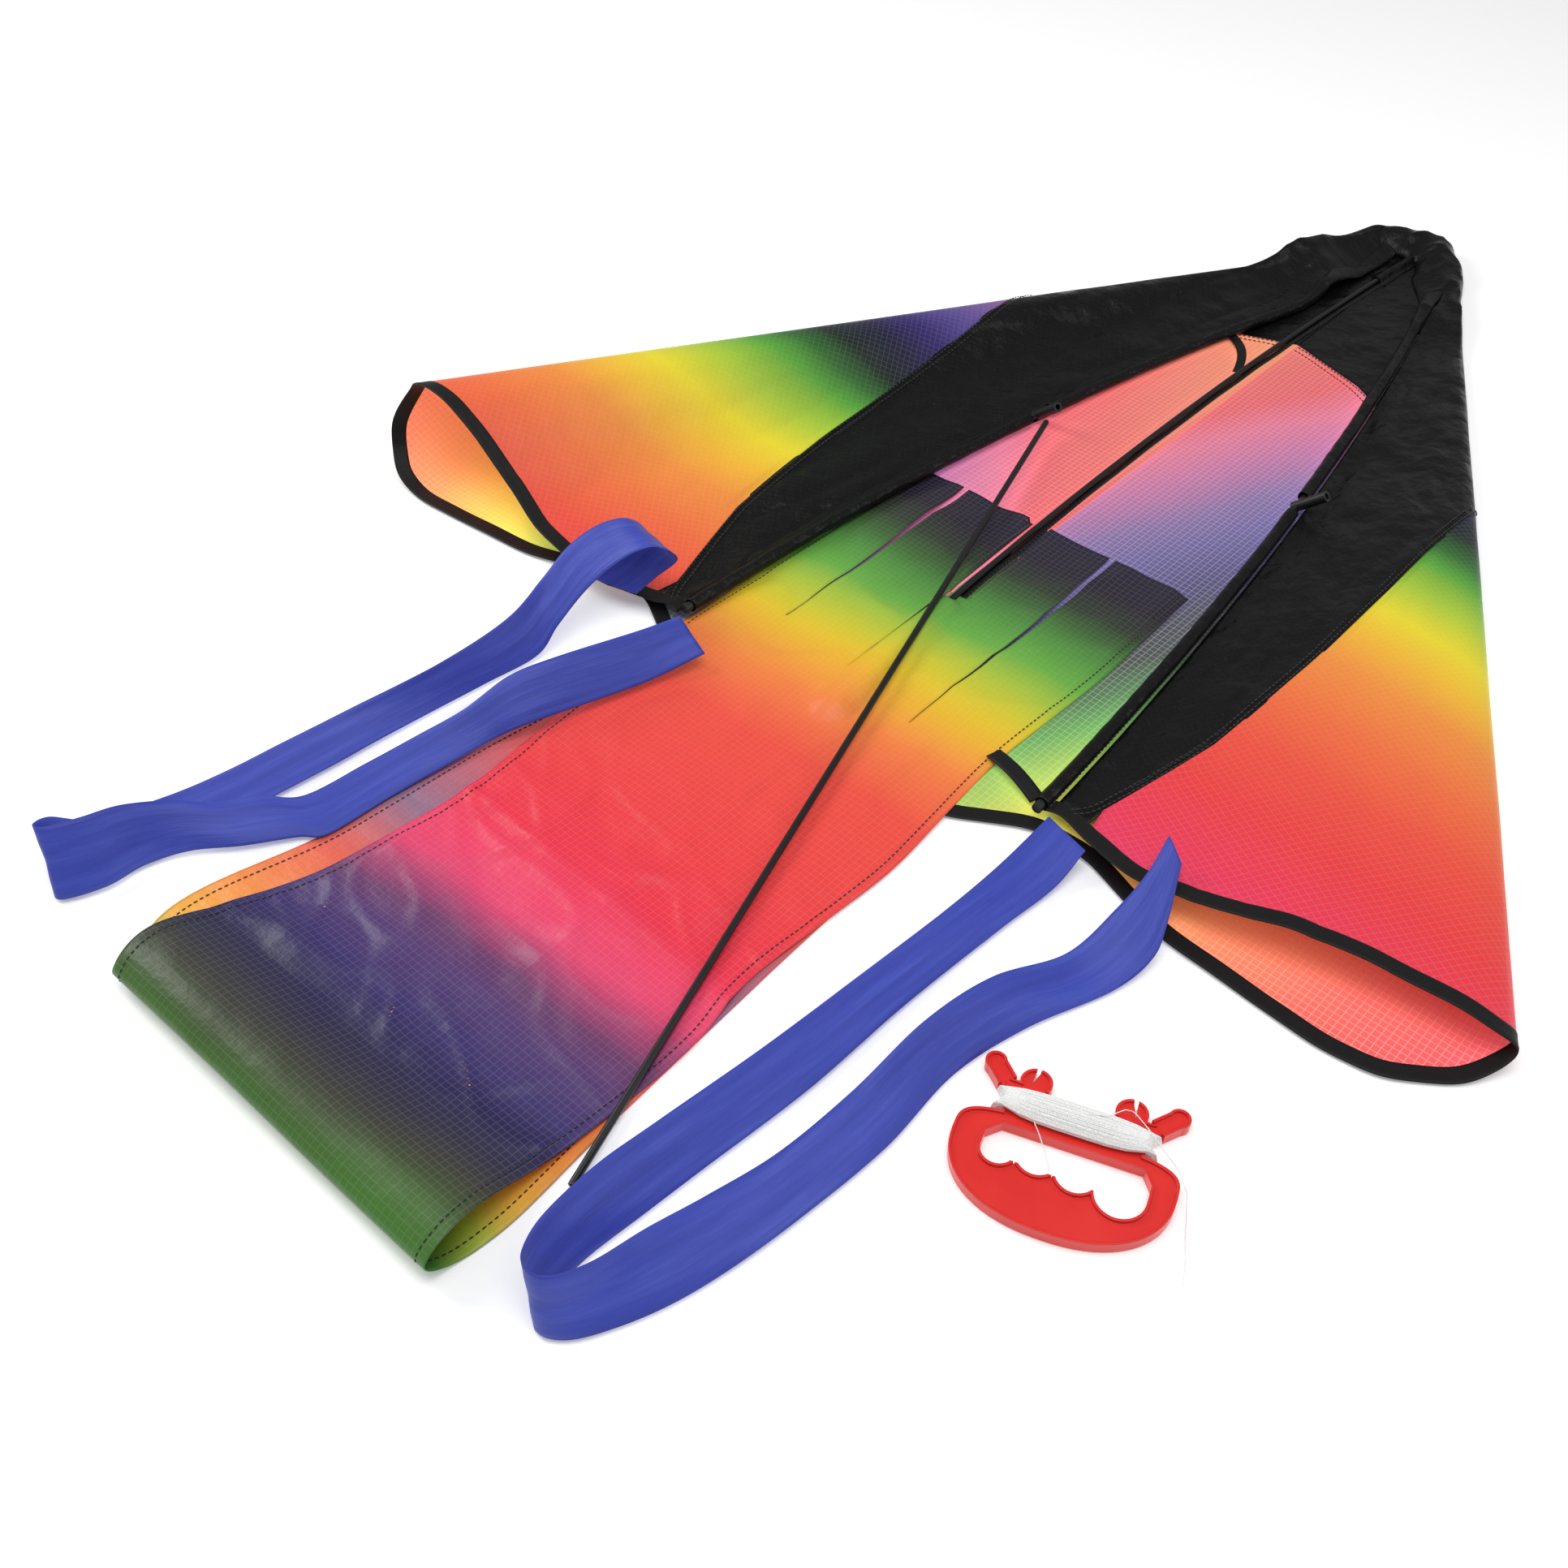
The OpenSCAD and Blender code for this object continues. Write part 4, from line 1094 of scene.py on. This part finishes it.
def smooth_interp(y, yy, xx):
    fine = np.arange(-1400.0, -600.0, 2.0)
    v = smooth(np.interp(fine, yy, xx), 8)
    return np.interp(y, fine, v)


def tail():
    """One cloth from the trailing edge down to the rolled fold and back over the sail."""
    low = np.linspace(-937, -1330, 90)
    loop_y = np.array([-1345, -1360, -1373, -1381, -1384.5, -1384, -1379, -1370, -1358, -1344, -1330,
                       -1312, -1292])
    loop_z = np.array([0.7, 1.0, 3.0, 7.5, 13.0, 18.5, 23.5, 26.6, 27.0, 23.5, 18.0, 11.0, 5.5])
    top = np.linspace(-1274, -626, 190)
    flap = np.interp(top, [-1274, -1245, -970, -945, -930, -626], [3.4, 1.9, 1.9, 2.9, 3.1, 3.1])
    y = np.concatenate([low, loop_y, top])
    z = np.concatenate([np.full(len(low), 0.45), loop_z, flap])
    layer = np.concatenate([np.zeros(len(low)), np.linspace(0, 1, len(loop_y)), np.ones(len(top))])
    run = np.concatenate([[0], np.cumsum(np.hypot(np.diff(y), np.diff(z)))])
    fine = np.linspace(0, run[-1], 430)
    y, z, layer = np.interp(fine, run, y), np.interp(fine, run, z), np.interp(fine, run, layer)
    z[fine > 380] = smooth(z, 3)[fine > 380]
    la, ra = tail_outline(y, "low")
    lb, rb = tail_outline(y, "top")
    mixed = smoothstep(layer)
    left, right = la + (lb - la) * mixed, ra + (rb - ra) * mixed
    across = 121
    f = np.linspace(0, 1, across)
    x = left[:, None] + (right - left)[:, None] * f
    yy = np.broadcast_to(y[:, None], x.shape).copy()
    zz = np.broadcast_to(z[:, None], x.shape).copy()
    is_top = smoothstep((layer - 0.9) / 0.1)[:, None]
    in_loop = (smoothstep(layer / 0.1) * smoothstep((1 - layer) / 0.1))[:, None]
    # the roll is loose: fuller toward its ends, with soft dents
    zz += in_loop * (1.8 * ruffle(x, fine[:, None], 51, 150, stretch=2) - 1.5)
    zz = np.maximum(zz, 0.45)
    # packing creases and ruffles of the top flap
    away_rod = np.clip(np.abs((x + 86) * 0.956 + (yy + 515) * 0.2953) / 22, 0.12, 1)
    puff = 2.6 * np.abs(ruffle(x, yy, 53, 170, stretch=1.5, angle=1.4)) \
        + 1.7 * np.maximum(creased(x, yy, 54, 100, stretch=2.4, angle=0.9), 0) \
        + 1.5 * np.maximum(creased(x, yy, 57, 62, stretch=2.4, angle=-0.4), 0) * smoothstep((-yy - 980) / 150)
    cross = np.exp(-np.abs(yy + 1137 + 0.06 * x) / 7)
    spine_fold = np.exp(-np.abs(x - 18 + (yy + 700) * 0.012) / 9) * smoothstep((-yy - 960) / 60)
    puff = puff * smoothstep((1 - f) / 0.05) * smoothstep(f / 0.05) + 2.2 * cross + 1.6 * spine_fold
    zz += is_top * puff * away_rod
    # the flap passes over the end of the spine rod and its pocket
    rod_x = arc(*SPINE, np.clip((yy[:, 0] + 880) / 888, 0, 1))[:, 0][:, None]
    over = smoothstep((-742 - yy) / 16) * smoothstep((yy + 938) / 40)
    tall = 9.0 + 1.4 * smoothstep((-838 - yy) / 12)
    zz = np.maximum(zz, is_top * over * tall * np.exp(-((x - rod_x) / (10 + 8 * over)) ** 2))
    # slits of the free end
    keep = np.ones((len(y) - 1, across), bool)
    col = f[:-1] + 0.5 / across
    for share, reach, _ in SLITS:
        c = int(np.argmin(np.abs(f - share)))
        keep[(y[:-1] > reach) & (layer[:-1] > 0.99), c] = False
        gape = np.where(layer > 0.99, smoothstep((y - reach) / (-626 - reach)), 0.0)[:, None]
        side_of = np.where(np.arange(across) <= c, -1.0, 1.0)[None, :]
        near_slit = np.clip(1 - np.abs(f - share) / 0.05, 0, 1)[None, :]
        closed = (1 - gape) * (layer > 0.99)[:, None] * smoothstep((y - reach + 20) / 20)[:, None]
        x = x + side_of * near_slit * (gape * 1.6 - closed * 0.9)
    # strips of the free end lie a little apart and curl at their corners
    for share, reach, width in SLITS:
        near = np.clip(1 - np.abs(f - share) / width, 0, 1)[None, :]
        zz += is_top * near * 1.3 * smoothstep((yy - reach) / 60)
    # keep clear under the spine rod inside the slit
    under_rod = (np.abs(x - rod_x) < 8) & (yy > -742) & (layer[:, None] > 0.99)
    zz = np.where(under_rod, np.minimum(zz, 2.35), zz)
    # push the flap away from the rod so that the rod lies in the slit
    shift = np.where(layer[:, None] > 0.99, smoothstep((yy + 760) / 30)
                     * np.sign(x - rod_x) * np.clip(1 - np.abs(x - rod_x) / 14, 0, 1) * 4.2, 0)
    x = x + shift
    total = fine[-1]
    share = 1 - fine / total
    phase = tail_phase(share)
    uv = np.stack([x, np.broadcast_to(phase[:, None] / MM, x.shape)], -1)
    faces = grid_faces(len(y), across, keep)
    p = np.stack([x, yy, zz], -1)
    o = solid_sheet("tail_cloth", p, faces, 0.36, uv, (MAT["tail"], MAT["tail_back"], MAT["tail"]))
    stands_for(o, "kite_body", "tail_ripstop", "tail")
    # hems: black stitching along both edges, on both faces
    n = np.cross(np.gradient(p, axis=1), np.gradient(p, axis=0))
    n /= -np.linalg.norm(n, axis=2, keepdims=True)
    for tag, c in (("left", 3), ("right", across - 4)):
        for k, sgn in (("out", 1), ("in", -1)):
            line = p[:, c] + n[:, c] * 0.3 * sgn
            sewn_on("kite_body", f"tail_{tag}_hem_{k}", line, n[:, c] * sgn)


def tail_phase(share):
    """Print position along the tail: 0 at the free end and 1 at the rolled fold."""
    top_share = 0.635
    return np.where(share < top_share, share / top_share, 1.0 - (share - top_share) / (1 - top_share) * 0.9)


tail()

# ---- ribbons
# stations along each streamer: its far edge, then its near edge
RIGHT_RIBBON = [
    (190, -897, 13, 227, -909, 16), (190, -950, 10, 226, -940, 5), (188, -1005, 10, 220, -990, 3),
    (182, -1074, 10, 213, -1075, 3), (176, -1160, 14, 210, -1160, 3), (170, -1241, 22, 201, -1243, 3),
    (168, -1286, 28, 197, -1281, 3), (173, -1327, 36, 193, -1319, 3), (182, -1350, 40, 195, -1348, 3),
    (192, -1357, 42, 200, -1364, 3), (204, -1352, 41, 212, -1364, 3), (212, -1330, 36, 226, -1350, 3),
    (214, -1294, 25, 243, -1315, 3), (220, -1255, 16, 254, -1275, 3), (229, -1207, 12, 262, -1224, 3),
    (234, -1150, 14, 268, -1160, 3), (238, -1090, 24, 266, -1096, 3), (246, -1035, 20, 278, -1040, 3),
    (264, -981, 8, 300, -983, 3), (271, -940, 20, 306, -950, 8), (273, -912, 31, 300, -926, 16),
    (270, -885, 42, 286, -893, 33)]
LEFT_RIBBON = [
    (-222, -931, 20, -180, -916, 15), (-202, -914, 36, -172, -902, 27), (-194, -892, 54, -158, -892, 46),
    (-200, -902, 68, -162, -912, 66), (-214, -918, 64, -176, -932, 58), (-222, -942, 54, -186, -957, 42),
    (-220, -972, 42, -190, -986, 22), (-212, -1015, 34, -192, -1008, 5), (-216, -1076, 28, -199, -1056, 3),
    (-234, -1138, 18, -208, -1137, 3), (-247, -1191, 12, -212, -1183, 3), (-255, -1238, 10, -220, -1247, 3),
    (-262, -1277, 12, -228, -1291, 3), (-266, -1324, 24, -237, -1338, 3), (-277, -1347, 36, -248, -1360, 3),
    (-272, -1360, 42, -249, -1371, 3), (-262, -1356, 44, -240, -1370, 3), (-255, -1335, 42, -228, -1345, 4),
    (-250, -1311, 38, -226, -1318, 4), (-240, -1283, 28, -214, -1292, 5), (-226, -1262, 20, -193, -1267, 5),
    (-212, -1236, 16, -173, -1237, 4), (-196, -1213, 10, -161, -1221, 3), (-190, -1166, 10, -158, -1171, 3),
    (-182, -1128, 14, -152, -1124, 4), (-171, -1093, 22, -147, -1093, 6), (-163, -1057, 34, -136, -1070, 12),
    (-148, -1025, 40, -122, -1036, 14), (-129, -963, 36, -105, -980, 12), (-122, -927, 32, -92, -932, 16)]


def catmull(points, per):
    """Smooth line through the points."""
    p = np.asarray(points, float)
    ext = np.vstack([2 * p[0] - p[1], p, 2 * p[-1] - p[-2]])
    out = []
    for i in range(1, len(ext) - 2):
        t = np.linspace(0, 1, per, endpoint=False)[:, None]
        a, b, c, d = ext[i - 1], ext[i], ext[i + 1], ext[i + 2]
        out.append(0.5 * (2 * b + (c - a) * t + (2 * a - 5 * b + 4 * c - d) * t ** 2
                          + (3 * b - 3 * c + d - a) * t ** 3))
    return np.vstack(out + [p[-1:]])


def ribbon(side, stations, seed):
    """Streamer: a satin band with a soft crown across and lengthwise creases."""
    st = np.array(stations, float)
    far, near = catmull(st[:, :3], 14), catmull(st[:, 3:], 14)
    m = 15
    f = np.linspace(0, 1, m)
    p = far[:, None] * (1 - f)[None, :, None] + near[:, None] * f[None, :, None]
    along = np.gradient((far + near) / 2, axis=0)
    nrm = np.cross(along, near - far)
    nrm /= np.linalg.norm(nrm, axis=1, keepdims=True)
    d = distances((far + near) / 2)
    crown = 1 - (2 * f - 1) ** 2
    fold = np.abs(2 * ((f * 2.0) % 1.0) - 1) - 0.5
    lift = 1.4 * np.outer(ruffle(d, 0 * d, seed, 120), crown) \
        + 0.5 * fold * (1 + 0.6 * ruffle(d, 0 * d, seed + 1, 60))[:, None]
    p = p + nrm[:, None, :] * lift[..., None]
    p[..., 2] = np.maximum(p[..., 2], 0.9)
    uv = np.stack([np.broadcast_to(f * 45.0, p.shape[:2]), np.broadcast_to(d[:, None], p.shape[:2])], -1)
    o = solid_sheet(f"{side}_streamer", p, grid_faces(len(d), m), 0.32, uv, MAT["satin"])
    stands_for(o, side + "_wing", "blue_satin", side + "_ribbon")


ribbon("right", RIGHT_RIBBON, 61)
ribbon("left", LEFT_RIBBON, 71)

nose_gather()

# ---- keel, under the sail


def keel():
    """Triangular keel, lying flat under the sail, with taped edges and a hole for the eyelet."""
    top, length, tip = -300.0, 400.0, (125.0, -520.0)
    n, m = 60, 24
    y = np.linspace(top - 1, top - length + 1, n)
    above, below = (top - y) / (top - tip[1]), (y - top + length) / (tip[1] - top + length)
    reach = np.where(y > tip[1], above, below) * tip[0]
    f = np.linspace(0, 1, m)
    x = 0.4 + (reach[:, None] - 0.6) * f
    z = 0.28 + 0 * x
    yy = np.broadcast_to(y[:, None], x.shape)
    edge = (reach[:, None] * (1 - f)) < 8.0
    ey = np.hypot(x - (tip[0] - 20), yy - tip[1])
    for name, part, mat, slot, node in (
            ("keel_cloth", ~edge, "front_left", "rainbow_ripstop", "keel"),
            ("keel_tape", edge, "tape", "black_nylon", "keel_edge_tape")):
        faces = [q[::-1] for q in grid_faces(n, m, part & (ey > 6.5))]
        o = solid_sheet(name, np.stack([x, yy, z], -1), faces, 0.4, np.stack([x + 60, yy], -1), MAT[mat])
        stands_for(o, "keel", slot, node)


keel()

# ---- CAD pieces that show
for node, mat in (("spine_rod", "rod"), ("left_spar", "rod"), ("right_spar", "rod"),
                  ("spreader_rod", "rod"),
                  ("left_connector", "vinyl"), ("right_connector", "vinyl"), ("left_spar_cap", "vinyl"),
                  ("right_spar_cap", "vinyl"), ("winder_handle", "red"), ("keel_eyelet", "brass")):
    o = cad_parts[node]
    o.data.materials.clear()
    o.data.materials.append(MAT[mat])
